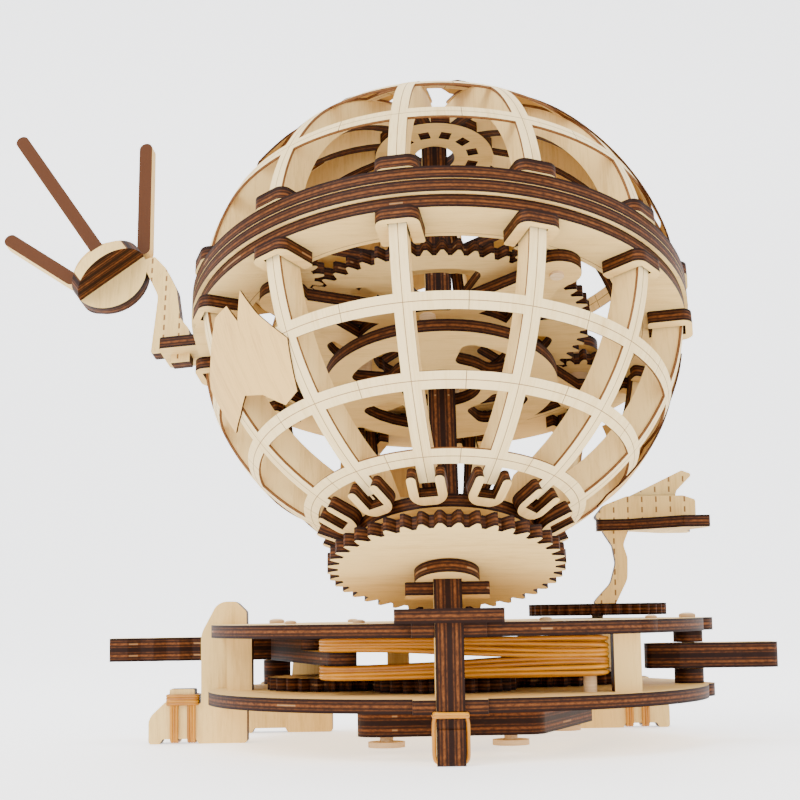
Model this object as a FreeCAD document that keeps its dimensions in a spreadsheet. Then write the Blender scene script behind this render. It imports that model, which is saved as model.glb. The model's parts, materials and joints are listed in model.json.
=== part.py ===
"""Table orrery of laser-cut plywood: a lattice globe on a leaning square column, over a two-plate base.

Frame: millimetres, +Z up, origin at the middle of the resting face of the front leg. The polar axis leans
back, towards +Y. Pieces of the globe are drawn in the globe frame: centre of the sphere at the origin and the
polar axis along +Z, then placed by globe_placement().
"""
import FreeCAD, Part
import math
import os

import Sketcher

Vector = FreeCAD.Vector
Rotation = FreeCAD.Rotation
Placement = FreeCAD.Placement

# ---------------------------------------------------------------------------------------------------------
# Driving dimensions: alias, value, what it is
# ---------------------------------------------------------------------------------------------------------
SIZES = [
    ("sheet", 4.0, "thickness of the plywood sheet"),
    ("veneer", 0.8, "thickness of the lattice strips"),
    ("land_veneer", 0.6, "thickness of the land shells"),
    ("fit", 0.05, "side clearance of a piece in its slot or a pin in its bore"),
    ("run_gap", 0.25, "gap between sheets that slide past each other"),
    ("tilt", 20.0, "lean of the polar axis from upright, degrees"),
    ("axis_length", 96.2, "from the top plate to the centre of the globe, along the axis"),
    ("sphere_radius", 73.8, "outside of the lattice"),
    ("rib_depth", 8.0, "radial depth of a rib"),
    ("strip_width", 4.9, "width of a lattice strip"),
    ("rib_count", 12, "ribs in each half of the globe"),
    ("first_rib", 20.0, "azimuth of the first rib at rest, degrees from the front"),
    ("ring_radius", 75.4, "outside of the upper and satellite rings"),
    ("ring_step", 1.1, "how much smaller the lower ring is"),
    ("ring_inner", 60.0, "inside of the upper and lower rings"),
    ("module", 1.5, "gear module of the epicyclic train"),
    ("sun_teeth", 60, "teeth of the fixed sun wheel"),
    ("planet_teeth", 14, "teeth of a planet wheel"),
    ("planet_count", 4, "planet wheels"),
    ("first_planet", 35.0, "azimuth of the first planet at rest, degrees"),
    ("pin_radius", 2.0, "radius of axle pins"),
    ("lobe_radius", 7.0, "rounded ends that carry the planet pins"),
    ("hub_hole", 20.5, "round opening of the frame plate"),
    ("crown_radius", 25.8, "crown plate under the ribs"),
    ("crown_level", 68.0, "depth of the crown plate top below the globe centre"),
    ("polar_radius", 19.0, "polar disc"),
    ("polar_level", 66.0, "height of the polar disc top above the globe centre"),
    ("shaft_side", 8.0, "side of the square axis column"),
    ("shaft_top", 67.0, "top of the axis column above the globe centre"),
    ("shaft_bore", 6.6, "radius of bores that turn round the square column"),
    ("train_module", 1.6, "gear module of the base train"),
    ("globe_teeth", 41, "teeth of the globe wheel"),
    ("globe_gear_level", 80.3, "depth of the globe wheel's lower face below the globe centre"),
    ("pinion_teeth", 12, "teeth of the drive pinion"),
    ("tilt_relief", 0.9, "extra centre distance where the leaning wheel meets the upright pinion"),
    ("drive_teeth", 26, "teeth of the drive wheel"),
    ("idler_teeth", 36, "teeth of the idler wheel"),
    ("shuttle_teeth", 16, "teeth of the lower shuttle wheel"),
    ("motor_teeth", 26, "teeth of the motor wheel"),
    ("shuttle_azimuth", 52.0, "direction of the shuttle axle from the drive axle, degrees from +X"),
    ("motor_azimuth", 145.0, "direction of the motor axle from the drive axle, degrees from +X"),
    ("disc_radius", 24.0, "toothed disc that carries the shuttle"),
    ("disc_teeth", 36, "teeth round the shuttle disc"),
    ("base_x", 5.0, "centre of the base plates, across"),
    ("base_y", 78.0, "centre of the base plates, front to back"),
    ("bottom_radius", 80.5, "bottom plate"),
    ("top_radius", 79.5, "top plate"),
    ("bottom_level", 14.0, "underside of the bottom plate"),
    ("top_level", 35.0, "underside of the top plate"),
    ("tab_width", 21.0, "front tab of the bottom plate"),
    ("leg_front", -8.0, "front face of the front leg"),
    ("leg_depth", 16.0, "front leg, front to back, at the floor"),
    ("bracket_width", 30.6, "bracket round the foot of the axis"),
    ("collar_radius", 9.3, "collar under the globe wheel"),
    ("key_length", 24.0, "cross key under the collar"),
    ("band_width", 3.2, "width of the bands round the feet"),
    ("band_wall", 1.3, "thickness of the bands round the feet"),
    ("handle_reach", 57.9, "winding handle beyond its pivot"),
    ("handle_width", 13.0, "width of the winding handle"),
    ("handle_level", 26.6, "underside of the winding handle"),
    ("arm_reach", 93.0, "winding arm from its pivot to the band"),
    ("lever_reach", 28.0, "start lever beyond its pivot"),
    ("lever_level", 22.9, "underside of the start lever"),
    ("stand_height", 25.4, "shuttle stand above its disc"),
    ("wing_span", 48.6, "shuttle wing"),
    ("wing_length", 36.0, "shuttle wing, nose to tail"),
    ("satellite_azimuth", -100.0, "azimuth of the satellite bracket at rest, degrees from the front"),
    ("satellite_reach", 12.0, "satellite bracket beyond the ring"),
    ("arm_height", 34.0, "satellite arm above the bracket"),
    ("dish_radius", 12.5, "round plates of the satellite body"),
    ("antenna_length", 44.0, "satellite antenna"),
    ("post_side", 8.0, "side of the square posts between the plates"),
    ("leg_notch", 10.0, "lower end of the band notch in the front leg"),
    ("key_width", 3.4, "width of the cross key"),
    ("cap_radius", 5.5, "round caps under the bearing plates"),
    ("cap_level", 2.6, "underside of the bearing caps"),
    ("motor_band", 3.6, "thickness of a bundle of the rubber motor"),
    ("low_disc_radius", 35.0, "lower frame disc inside the globe"),
    ("low_disc_level", 22.0, "depth of the lower frame disc's underside below the globe centre"),
]

ADDENDUM = 0.8       # tooth height above the pitch line, in modules
DEDENDUM = 1.15      # tooth depth below the pitch line, in modules
PRESSURE = 25.0      # pressure angle, degrees
BACKLASH = 0.3       # play of a mesh at the pitch line, mm

doc = FreeCAD.newDocument("orrery")
sheet = doc.addObject("Spreadsheet::Sheet", "sizes")
for row, (alias, value, meaning) in enumerate(SIZES, start=1):
    sheet.set("A%d" % row, meaning)
    sheet.set("B%d" % row, str(value))
    sheet.setAlias("B%d" % row, alias)
doc.recompute()

exported = []


def size(alias):
    """The value of a driving dimension, read from the sheet."""
    return float(sheet.get(alias))


# ---------------------------------------------------------------------------------------------------------
# Outlines: each is a list of Part curves that close on themselves, in the plane of the sheet
# ---------------------------------------------------------------------------------------------------------
def point(radius, degrees):
    """A point of the plane from its radius and its angle from +X."""
    return (radius * math.cos(math.radians(degrees)), radius * math.sin(math.radians(degrees)))


def polygon(points):
    """Straight-sided outline."""
    ends = list(points[1:]) + [points[0]]
    return [Part.LineSegment(Vector(ax, ay, 0), Vector(bx, by, 0)) for (ax, ay), (bx, by) in zip(points, ends)]


def arc(cx, cy, radius, start, end):
    """Arc round (cx, cy) from start to end, degrees, anticlockwise."""
    circle = Part.Circle(Vector(cx, cy, 0), Vector(0, 0, 1), radius)
    return Part.ArcOfCircle(circle, math.radians(start), math.radians(end))


def rounded(points, radius):
    """Polygon whose corners are rounded by one radius, or by one radius for each corner."""
    count = len(points)
    radii = radius if isinstance(radius, (list, tuple)) else [radius] * count
    corners = []
    for i, (x, y) in enumerate(points):
        before = Vector(*points[i - 1], 0) - Vector(x, y, 0)
        after = Vector(*points[(i + 1) % count], 0) - Vector(x, y, 0)
        if radii[i] <= 0:
            corners.append((Vector(x, y, 0), Vector(x, y, 0), None))
            continue
        half = before.getAngle(after) / 2
        reach = radii[i] / math.tan(half)
        before.normalize()
        after.normalize()
        middle = before + after
        middle.normalize()
        centre = Vector(x, y, 0) + middle * (radii[i] / math.sin(half))
        corners.append((Vector(x, y, 0) + before * reach, Vector(x, y, 0) + after * reach, centre))
    curves = []
    for i, (enter, leave, centre) in enumerate(corners):
        if centre is not None:
            start = math.atan2(enter.y - centre.y, enter.x - centre.x)
            end = math.atan2(leave.y - centre.y, leave.x - centre.x)
            turn = (end - start) % (2 * math.pi)
            if turn > math.pi:
                start, end = end, start
            circle = Part.Circle(centre, Vector(0, 0, 1), radii[i])
            curves.append(Part.ArcOfCircle(circle, start, end))
        following = corners[(i + 1) % count][0]
        if leave.distanceToPoint(following) > 1e-6:
            curves.append(Part.LineSegment(leave, following))
    return curves


def ring_circle(radius, expression=None, cx=0.0, cy=0.0):
    """A full circle, with the expression that drives its radius."""
    return [(Part.Circle(Vector(cx, cy, 0), Vector(0, 0, 1), radius), expression)]


def box_outline(x0, y0, x1, y1, radius=0.0):
    """Rectangle between two corners."""
    corners = [(x0, y0), (x1, y0), (x1, y1), (x0, y1)]
    return rounded(corners, radius) if radius else polygon(corners)


def involute(angle):
    """Involute function of an angle in radians."""
    return math.tan(angle) - angle


def tooth_angle(radius, pitch_radius, half_at_pitch):
    """Half the angle that an involute tooth takes at a radius; straight to the centre under the base circle."""
    base = pitch_radius * math.cos(math.radians(PRESSURE))
    pressure_here = math.acos(min(1.0, base / radius))
    return half_at_pitch + involute(math.radians(PRESSURE)) - involute(pressure_here)


def gear_outline(teeth, module, phase, inward=False):
    """Involute outline; phase is the angle of a tooth's middle, or of a space's middle on an inward gear."""
    pitch_radius = teeth * module / 2
    play = BACKLASH if inward else -BACKLASH
    half = (math.pi * module / 2 + play) / (2 * pitch_radius)
    outer = pitch_radius + (DEDENDUM if inward else ADDENDUM) * module
    inner = pitch_radius - (ADDENDUM if inward else DEDENDUM) * module
    levels = [inner, (inner + pitch_radius) / 2, pitch_radius, (pitch_radius + outer) / 2, outer]
    halves = [tooth_angle(level, pitch_radius, half) for level in levels]
    points = []
    for tooth in range(int(teeth)):
        middle = math.radians(phase) + 2 * math.pi * tooth / teeth
        for level, turn in zip(levels, halves):
            points.append((level * math.cos(middle - turn), level * math.sin(middle - turn)))
        for level, turn in zip(reversed(levels), reversed(halves)):
            points.append((level * math.cos(middle + turn), level * math.sin(middle + turn)))
    return polygon(points)


def mesh_phase(phase, teeth, direction, other_teeth):
    """Phase of a wheel that meshes outside with a wheel of the given phase, lying in the given direction."""
    return direction + 180.0 + (180.0 - (phase - direction) * teeth) / other_teeth


def sector_window(inner, outer, start, end, corner):
    """Curved window between two radii and two angles, with rounded corners, as a rounded polygon."""
    steps = 5
    angles = [start + (end - start) * i / steps for i in range(steps + 1)]
    points = [point(outer, a) for a in angles] + [point(inner, a) for a in reversed(angles)]
    radii = [corner] + [0] * (steps - 1) + [corner, corner] + [0] * (steps - 1) + [corner]
    return rounded(points, radii)


# ---------------------------------------------------------------------------------------------------------
# Document objects
# ---------------------------------------------------------------------------------------------------------
def export(item, label):
    """Name an object and list it for export."""
    item.Label = label
    exported.append(item)
    return item


def add_sketch(body, label, loops):
    """Sketch on the body's XY plane, its full circles bound to the sheet."""
    drawing = body.newObject("Sketcher::SketchObject", label)
    planes = [f for f in body.Origin.OriginFeatures if f.Role == "XY_Plane"]
    drawing.AttachmentSupport = [(planes[0], "")]
    drawing.MapMode = "FlatFace"
    curves = []
    driven = []
    for loop in loops:
        for curve in loop:
            if isinstance(curve, tuple):
                driven.append((len(curves), curve[0].Radius, curve[1]))
                curve = curve[0]
            curves.append(curve)
    drawing.addGeometry(curves, False)
    for index, radius, expression in driven:
        constraint = drawing.addConstraint(Sketcher.Constraint("Radius", index, radius))
        if expression:
            drawing.setExpression("Constraints[%d]" % constraint, expression)
    return drawing


def cut_sheet(label, loops, place=None, thick="sizes.sheet"):
    """A flat piece: sketched outline and holes, padded by the sheet's thickness."""
    body = doc.addObject("PartDesign::Body", "Body_" + label)
    drawing = add_sketch(body, "Outline_" + label, loops)
    pad = body.newObject("PartDesign::Pad", "Pad_" + label)
    pad.Profile = drawing
    pad.setExpression("Length", thick)
    body.Tip = pad
    if place is not None:
        body.Placement = place
    drawing.Visibility = False
    return export(body, label)


def made(label, shape, place=None):
    """A piece whose shape is set by Part's own functions."""
    item = doc.addObject("Part::Feature", "Made_" + label)
    item.Shape = shape
    if place is not None:
        item.Placement = place
    return export(item, label)


def group(label, shape, places, frame=None):
    """Copies of one shape at several places, as one group of separate solids."""
    copies = []
    for place in places:
        copy = shape.copy()
        copy.Placement = place.multiply(shape.Placement)
        copies.append(copy)
    return made(label, Part.makeCompound(copies), frame)


def template(loops, thickness):
    """A flat solid outside the document, for groups of equal pieces."""
    wires = []
    for loop in loops:
        curves = [c[0] if isinstance(c, tuple) else c for c in loop]
        wires.append(Part.Wire([c.toShape() for c in curves]))
    face = Part.Face(wires[0])
    for wire in wires[1:]:
        face = face.cut(Part.Face(wire))
    return face.extrude(Vector(0, 0, thickness)).Solids[0]


def at(x=0.0, y=0.0, z=0.0, turn=0.0):
    """Placement at a point, turned about +Z by degrees."""
    return Placement(Vector(x, y, z), Rotation(Vector(0, 0, 1), turn))


def upright(x=0.0, y=0.0, z=0.0, turn=0.0):
    """Placement that stands a drawing up: its X runs across, its Y runs up, its thickness towards -Y."""
    stand = Placement(Vector(0, 0, 0), Rotation(Vector(1, 0, 0), 90))
    return at(x, y, z, turn).multiply(stand)


def azimuth(degrees, radius=0.0, level=0.0):
    """Placement in the globe frame with +X outwards at an azimuth measured from the front, -Y, towards +X."""
    turn = degrees - 90.0
    return at(*point(radius, turn), level, turn)


TILT = math.radians(size("tilt"))
SHEET = size("sheet")
FIT = size("fit")
TOP = size("top_level") + SHEET
CENTRE = Vector(0, size("axis_length") * math.sin(TILT), TOP + size("axis_length") * math.cos(TILT))


def globe_placement(local=None):
    """From the globe frame to the world frame."""
    lean = Placement(CENTRE, Rotation(Vector(1, 0, 0), -size("tilt")))
    return lean.multiply(local) if local is not None else lean


RIB_OUTER = size("sphere_radius") - size("veneer")
RIB_INNER = RIB_OUTER - size("rib_depth")
STACK = SHEET * 1.5 + size("run_gap")      # half the height of the three rings
RIB_AZIMUTHS = [size("first_rib") + 360.0 * i / size("rib_count") for i in range(int(size("rib_count")))]
PLANETS = [size("first_planet") + 360.0 * i / size("planet_count") for i in range(int(size("planet_count")))]
MODULE = size("module")
RING_TEETH = size("sun_teeth") + 2 * size("planet_teeth")
PLANET_CIRCLE = MODULE * (size("sun_teeth") + size("planet_teeth")) / 2
TRAIN = size("train_module")


# ---------------------------------------------------------------------------------------------------------
# Base
# ---------------------------------------------------------------------------------------------------------
BASE_X, BASE_Y = size("base_x"), size("base_y")
GLOBE_WHEEL_LEVEL = -size("globe_gear_level") + SHEET / 2
WHEEL_CENTRE = CENTRE + Vector(0, math.sin(TILT), math.cos(TILT)) * GLOBE_WHEEL_LEVEL
GLOBE_PITCH = size("globe_teeth") * TRAIN / 2
PINION_PITCH = size("pinion_teeth") * TRAIN / 2
PINION_LEVEL = WHEEL_CENTRE.z - GLOBE_PITCH * math.sin(TILT)
DRIVE = (0.0, WHEEL_CENTRE.y + GLOBE_PITCH * math.cos(TILT) + PINION_PITCH + size("tilt_relief"))


def beside(start, degrees, teeth, other_teeth):
    """Centre of a wheel that meshes with a wheel at start, in a direction in degrees from +X."""
    distance = (teeth + other_teeth) * TRAIN / 2
    dx, dy = point(distance, degrees)
    return (start[0] + dx, start[1] + dy)


IDLER = beside(DRIVE, size("shuttle_azimuth"), size("drive_teeth"), size("idler_teeth"))
SHUTTLE = beside(IDLER, size("shuttle_azimuth"), size("idler_teeth"), size("shuttle_teeth"))
MOTOR = beside(DRIVE, size("motor_azimuth"), size("drive_teeth"), size("motor_teeth"))
FLOOR = size("bottom_level") + SHEET       # top face of the bottom plate
ROOM = size("top_level") - FLOOR           # height between the plates
PIN = size("pin_radius")
POST = size("post_side")
LEFT_POST = (-65.3, 76.0)
BAND_POST = (53.2, 27.0)
BAND_HOOK = (42.3, 26.0)
BAND_END_X = -31.0           # where the winding arm holds the bands
BAND_PIN = 3.0               # radius of the pin that holds them
BACK_POSTS = [(-14.0, 148.0), (34.0, 146.0), (-38.0, 134.0)]
LEVER_PIVOT = (80.0, 75.0)
HANDLE_PIVOT = (-56.5, 120.0)
FEET = [("left_foot", -64.6, 95.0, -1, True), ("rear_left_foot", -38.0, 142.0, -1, False),
        ("rear_right_foot", 50.0, 138.0, 1, False)]
BEARINGS = [(-18.0, 31.0), (19.0, 33.0), (40.5, 90.0)]


def plate(label, radius_alias, level, extra, holes):
    """A base plate: disc with lobes, less the openings for what passes through it."""
    body = doc.addObject("PartDesign::Body", "Body_" + label)
    disc = ring_circle(size(radius_alias), "sizes." + radius_alias, BASE_X, BASE_Y)
    pad = body.newObject("PartDesign::Pad", "Pad_" + label)
    pad.Profile = add_sketch(body, "Disc_" + label, [disc])
    pad.setExpression("Length", "sizes.sheet")
    for number, outline in enumerate(extra):
        lobe = body.newObject("PartDesign::Pad", "Lobe_%s_%d" % (label, number))
        lobe.Profile = add_sketch(body, "Lobe_outline_%s_%d" % (label, number), [outline])
        lobe.setExpression("Length", "sizes.sheet")
    cuts = body.newObject("PartDesign::Pocket", "Openings_" + label)
    cuts.Profile = add_sketch(body, "Openings_outline_" + label, holes)
    cuts.Type = "ThroughAll"
    cuts.Reversed = True
    body.Tip = cuts
    body.Placement = at(0, 0, level)
    return export(body, label)


def build_base_plates():
    """Bottom and top plates, with lobes at the front leg, the band post and the start lever."""
    side = size("shaft_side") / 2 + FIT
    front = size("leg_front")
    leg_back = front + size("leg_depth") - 2.0 + FIT
    half_tab = size("tab_width") / 2
    bore = PIN + FIT
    lever_lobe = ring_circle(11.0, None, LEVER_PIVOT[0] - 3.0, LEVER_PIVOT[1])
    post_lobe = ring_circle(10.0, None, BAND_POST[0], BAND_POST[1])
    slots = [box_outline(-side, front - 4.0, side, leg_back)]
    for _, x, y, way, _ in FEET:
        ends = sorted([x, x + way * 40.0])
        slots.append(box_outline(ends[0], y - SHEET - FIT, ends[1], y + SHEET + FIT))
    for label, alias, level, spots in (
            ("bottom_plate", "bottom_radius", "bottom_level", (DRIVE, IDLER, SHUTTLE, MOTOR)),
            ("top_plate", "top_radius", "top_level", (DRIVE, SHUTTLE))):
        tab = box_outline(-half_tab, front + 1.0, half_tab, BASE_Y - size(alias) + 12.0, 1.0)
        holes = [ring_circle(bore, None, *spot) for spot in spots]
        holes += [ring_circle(PIN, None, *spot) for spot in (HANDLE_PIVOT, LEVER_PIVOT)]
        plate(label, alias, size(level), [tab, lever_lobe, post_lobe], slots + holes)


def lean_vectors():
    """Unit vectors along and across the axis, in a Y-Z drawing."""
    return (Vector(math.sin(TILT), math.cos(TILT), 0), Vector(math.cos(TILT), -math.sin(TILT), 0))


def column_outline():
    """Outline of one column sheet in the Y-Z plane: the front leg, then the leaning shaft."""
    front = size("leg_front")
    back = front + size("leg_depth")
    half = size("shaft_side") / 2
    under = size("bottom_level")
    along, across = lean_vectors()
    seat = Vector(0, TOP, 0)
    edge = half / math.cos(TILT)
    far = seat + along * (size("axis_length") + size("shaft_top"))
    far_back, far_front = far + across * half, far - across * half
    notch = size("leg_notch")
    points = [(front, 0.0), (back, 0.0), (back, under - 0.5), (back - 2.0, under), (back - 2.0, TOP), (edge, TOP),
              (far_back.x, far_back.y), (far_front.x, far_front.y), (-edge, TOP), (front, TOP), (front, notch + 5.0),
              (front + 1.0, notch + 4.4), (front + 1.0, notch + 0.2), (front, notch)]
    return rounded(points, [1.5, 1.5, 0, 0, 0, 0, 1.0, 1.0, 0, 0, 0, 0, 0, 0.4])


def collar_level():
    """Underside of the collar, in the globe frame."""
    return -size("globe_gear_level") - size("run_gap") - SHEET


def key_level():
    """Underside of the cross key, in the globe frame."""
    return collar_level() - SHEET


def key_hole():
    """Opening of the column for the cross key, in the Y-Z plane."""
    along, across = lean_vectors()
    middle = Vector(0, TOP, 0) + along * (size("axis_length") + key_level() + SHEET / 2)
    high, wide = SHEET / 2, size("key_width") / 2
    corners = [middle + along * u + across * v
               for u, v in ((-high, -wide), (-high, wide), (high, wide), (high, -wide))]
    return polygon([(c.x, c.y) for c in corners])


def build_column():
    """Two equal sheets, back to back, that make the front leg and the square axis, and what sits on them."""
    half_column = template([column_outline(), key_hole()], SHEET)
    half_column.Placement = Placement(Vector(0, 0, 0), Rotation(Vector(1, 1, 1), 120))
    group("column_sheets", half_column, [at(-SHEET), at(0)])
    half, reach = size("bracket_width") / 2, size("shaft_side") / 2 + FIT
    edge = size("shaft_side") / 2 / math.cos(TILT)
    slot_back = edge + SHEET * math.tan(TILT) + FIT
    cut_sheet("axis_bracket", [box_outline(-half, size("leg_front") - 2.5, half, slot_back + 8.0, 1.5),
                               box_outline(-reach, -edge - FIT, reach, slot_back)], at(0, 0, TOP))
    square = size("shaft_side") / 2 + FIT
    cut_sheet("shaft_collar", [ring_circle(size("collar_radius"), "sizes.collar_radius"),
                               box_outline(-square, -square, square, square)],
              globe_placement(at(0, 0, collar_level())))
    long, wide = size("key_length") / 2, size("key_width") / 2
    cut_sheet("shaft_key", [box_outline(-long, -wide, long, wide, 0.8)], globe_placement(at(0, 0, key_level())))


def foot_outline(tall):
    """A foot in an X-Z drawing, its inner edge at x = 0 and its toe towards -X; the tall one rises over the plates."""
    if tall:
        points = [(0.0, 0.0), (0.0, 43.2), (-3.5, 46.6), (-9.5, 46.6), (-15.2, 36.0), (-15.2, 13.0)]
        radii = [1.0, 1.5, 3.0, 5.0, 9.0, 0.8]
    else:
        points = [(0.0, 0.0), (0.0, TOP), (-10.0, TOP), (-13.0, TOP - 4.0), (-15.2, 13.0)]
        radii = [1.0, 0.5, 1.0, 2.0, 0.8]
    points += [(-17.4, 13.0), (-17.4, 17.9), (-25.7, 17.9), (-25.7, 13.9), (-27.0, 13.9), (-32.7, 8.5), (-32.7, 0.0),
               (-29.0, 0.0), (-28.0, 1.6), (-17.0, 1.6), (-16.0, 0.0)]
    radii += [0, 0.5, 0.5, 0, 2.0, 5.0, 1.0, 0, 0, 0, 0]
    return rounded(points, radii)


def build_feet():
    """Three feet, two sheets thick, and the rubber bands wound on the toes and on the front leg."""
    wall, wide = size("band_wall"), size("band_width")
    bands = []
    rear = []
    for label, x, y, way, hooked in FEET:
        stand = upright(x, y + SHEET)
        if way > 0:
            stand = upright(x, y - SHEET, 0.0, 180.0)
        if hooked:
            cut_sheet(label, [foot_outline(hooked)], stand, "2 * sizes.sheet")
        else:
            rear.append(stand)
        if label == "rear_left_foot":
            continue
        gap, block_top = 0.2, 17.9
        for middle in (23.6, 19.4):
            loop = template([box_outline(-SHEET - gap - wall, 1.6 - gap - wall, SHEET + gap + wall,
                                         block_top + gap + wall, 1.2),
                             box_outline(-SHEET - gap, 1.6 - gap, SHEET + gap, block_top + gap, 0.3)], wide)
            start = x + way * middle - wide / 2
            loop.Placement = Placement(Vector(start, y, 0), Rotation(Vector(1, 1, 1), 120))
            bands.append(loop)
    front, back = size("leg_front"), size("leg_front") + size("leg_depth")
    half, gap = size("shaft_side") / 2, 0.15
    leg_band = template([box_outline(-half - gap - wall, front + 1.0 - gap - wall, half + gap + wall,
                                     back + gap + wall, 1.2),
                         box_outline(-half - gap, front + 1.0 - gap, half + gap, back + gap, 0.5)], wide)
    leg_band.Placement = at(0, 0, size("leg_notch") + 0.4)
    bands.append(leg_band)
    made("foot_bands", Part.makeCompound(bands))
    group("rear_feet", template([foot_outline(False)], 2 * SHEET), rear)


def pin(label, spot, low, height, radius="sizes.pin_radius"):
    """A round pin or washer standing at a point."""
    item = doc.addObject("Part::Cylinder", "Pin_" + label)
    item.setExpression("Radius", radius)
    item.setExpression("Height", height)
    item.Placement = at(spot[0], spot[1], low)
    return export(item, label)


def build_posts():
    """Posts between the plates, and the bearing plates and capped pins under the base."""
    block = Part.makeBox(POST, POST, ROOM)
    group("posts", block, [at(x - POST / 2, y - POST / 2, FLOOR) for x, y in [LEFT_POST, BAND_POST] + BACK_POSTS])
    under = size("bottom_level")
    loops = [rounded(bearing_corners(8.5), 6.0)] + [ring_circle(PIN, None, *spot) for spot in BEARINGS]
    bearing_plate = template(loops, SHEET)
    group("bearing_plates", bearing_plate, [at(0, 0, under - SHEET), at(0, 0, under - 2 * SHEET)])
    low = size("cap_level")
    cap = Part.makeCylinder(size("cap_radius"), 1.6).fuse(
        Part.makeCylinder(PIN, under - low)).removeSplitter()
    group("bearing_caps", cap.Solids[0], [at(x, y, low) for x, y in BEARINGS])


def bearing_corners(grow):
    """Corners of the bearing plates: round the three bearings, with the drive axle left free."""
    (ax, ay), (bx, by), (cx, cy) = BEARINGS
    return [(ax - grow, ay - grow), (bx + grow, by - grow), (cx + grow, cy - grow), (cx + grow, cy + grow),
            (cx - grow, cy + grow), (bx - grow + 4.0, by + grow), (ax - grow, ay + grow)]


# ---------------------------------------------------------------------------------------------------------
# Wheels, handle and lever of the base
# ---------------------------------------------------------------------------------------------------------
def wheel_phases():
    """Angle of a tooth's middle at rest for each wheel of the base train."""
    drive = 0.0
    idler = mesh_phase(drive, size("drive_teeth"), size("shuttle_azimuth"), size("idler_teeth"))
    shuttle = mesh_phase(idler, size("idler_teeth"), size("shuttle_azimuth"), size("shuttle_teeth"))
    motor = mesh_phase(drive, size("drive_teeth"), size("motor_azimuth"), size("motor_teeth"))
    return {"drive": drive, "idler": idler, "shuttle": shuttle, "motor": motor}


def build_base_train():
    """Globe pinion, drive wheel, idler, shuttle wheel and motor wheel, with their axles."""
    phases = wheel_phases()
    bore, running = [ring_circle(PIN, "sizes.pin_radius")], [ring_circle(PIN + FIT, "sizes.pin_radius + sizes.fit")]
    level = FLOOR + size("run_gap")
    for label, spot, teeth, hole in (("drive_wheel", DRIVE, "drive", bore), ("idler_wheel", IDLER, "idler", running),
                                     ("shuttle_wheel", SHUTTLE, "shuttle", bore), ("motor_wheel", MOTOR, "motor", running)):
        outline = gear_outline(size(teeth + "_teeth"), TRAIN, phases[teeth])
        windows = wheel_windows(size(teeth + "_teeth") * TRAIN / 2)
        cut_sheet(label, [outline] + hole + windows, at(spot[0], spot[1], level))
    pinion_low = PINION_LEVEL - SHEET / 2
    phase = -90.0 + 180.0 / size("pinion_teeth")
    cut_sheet("drive_pinion", [gear_outline(size("pinion_teeth"), TRAIN, phase)] + bore,
              at(DRIVE[0], DRIVE[1], pinion_low))
    foot = size("bottom_level") - 1.0
    pin("drive_axle", DRIVE, foot, "%f + sizes.sheet" % (pinion_low - foot + 0.8))
    disc = template([gear_outline(size("disc_teeth"), 2 * size("disc_radius") / (size("disc_teeth") + 2 * ADDENDUM),
                                  0.0), ring_circle(PIN)], SHEET)
    made("shuttle_disc", disc, at(SHUTTLE[0], SHUTTLE[1], disc_level()))
    pin("shuttle_axle", SHUTTLE, foot, "%f + sizes.sheet" % (disc_level() - foot))


def wheel_windows(pitch_radius):
    """Four curved windows of a wheel large enough to have them."""
    inner, outer = 7.0, pitch_radius - 6.0
    if outer - inner < 5.0:
        return []
    return [sector_window(inner, outer, 90.0 * i + 18.0, 90.0 * i + 72.0, 1.5) for i in range(4)]


def disc_level():
    """Underside of the shuttle disc."""
    return TOP + 1.0


def bar(start, end, width):
    """Stadium outline between two points."""
    ax, ay = start
    bx, by = end
    turn = math.degrees(math.atan2(by - ay, bx - ax))
    half = width / 2
    ux, uy = point(half, turn + 90.0)
    return [arc(ax, ay, half, turn + 90.0, turn + 270.0),
            Part.LineSegment(Vector(ax - ux, ay - uy, 0), Vector(bx - ux, by - uy, 0)),
            arc(bx, by, half, turn - 90.0, turn + 90.0),
            Part.LineSegment(Vector(bx + ux, by + uy, 0), Vector(ax + ux, ay + uy, 0))]


def arm_end():
    """Where the winding arm holds the bands."""
    dx = BAND_END_X - HANDLE_PIVOT[0]
    dy = math.sqrt(size("arm_reach") ** 2 - dx * dx)
    return (BAND_END_X, HANDLE_PIVOT[1] - dy)



def grip_outline():
    """Winding handle: straight grip with finger notches, from the pivot towards -X."""
    half, reach = size("handle_width") / 2, size("handle_reach")
    points = [(7.0, half), (-reach + 42.0, half)]
    notch, pitch = 1.6, 9.0
    for i in range(4):
        x = -reach + 38.0 - pitch * i
        points += [(x, half - notch), (x - pitch / 2, half)]
    points += [(-reach, half - 1.0), (-reach, -half + 1.0)]
    lower = []
    for i in range(4):
        x = -reach + 38.0 - pitch * i
        lower += [(x, -half + notch), (x - pitch / 2, -half)]
    points += list(reversed(lower)) + [(-reach + 42.0, -half), (7.0, -half)]
    return rounded(points, 1.0)


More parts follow.
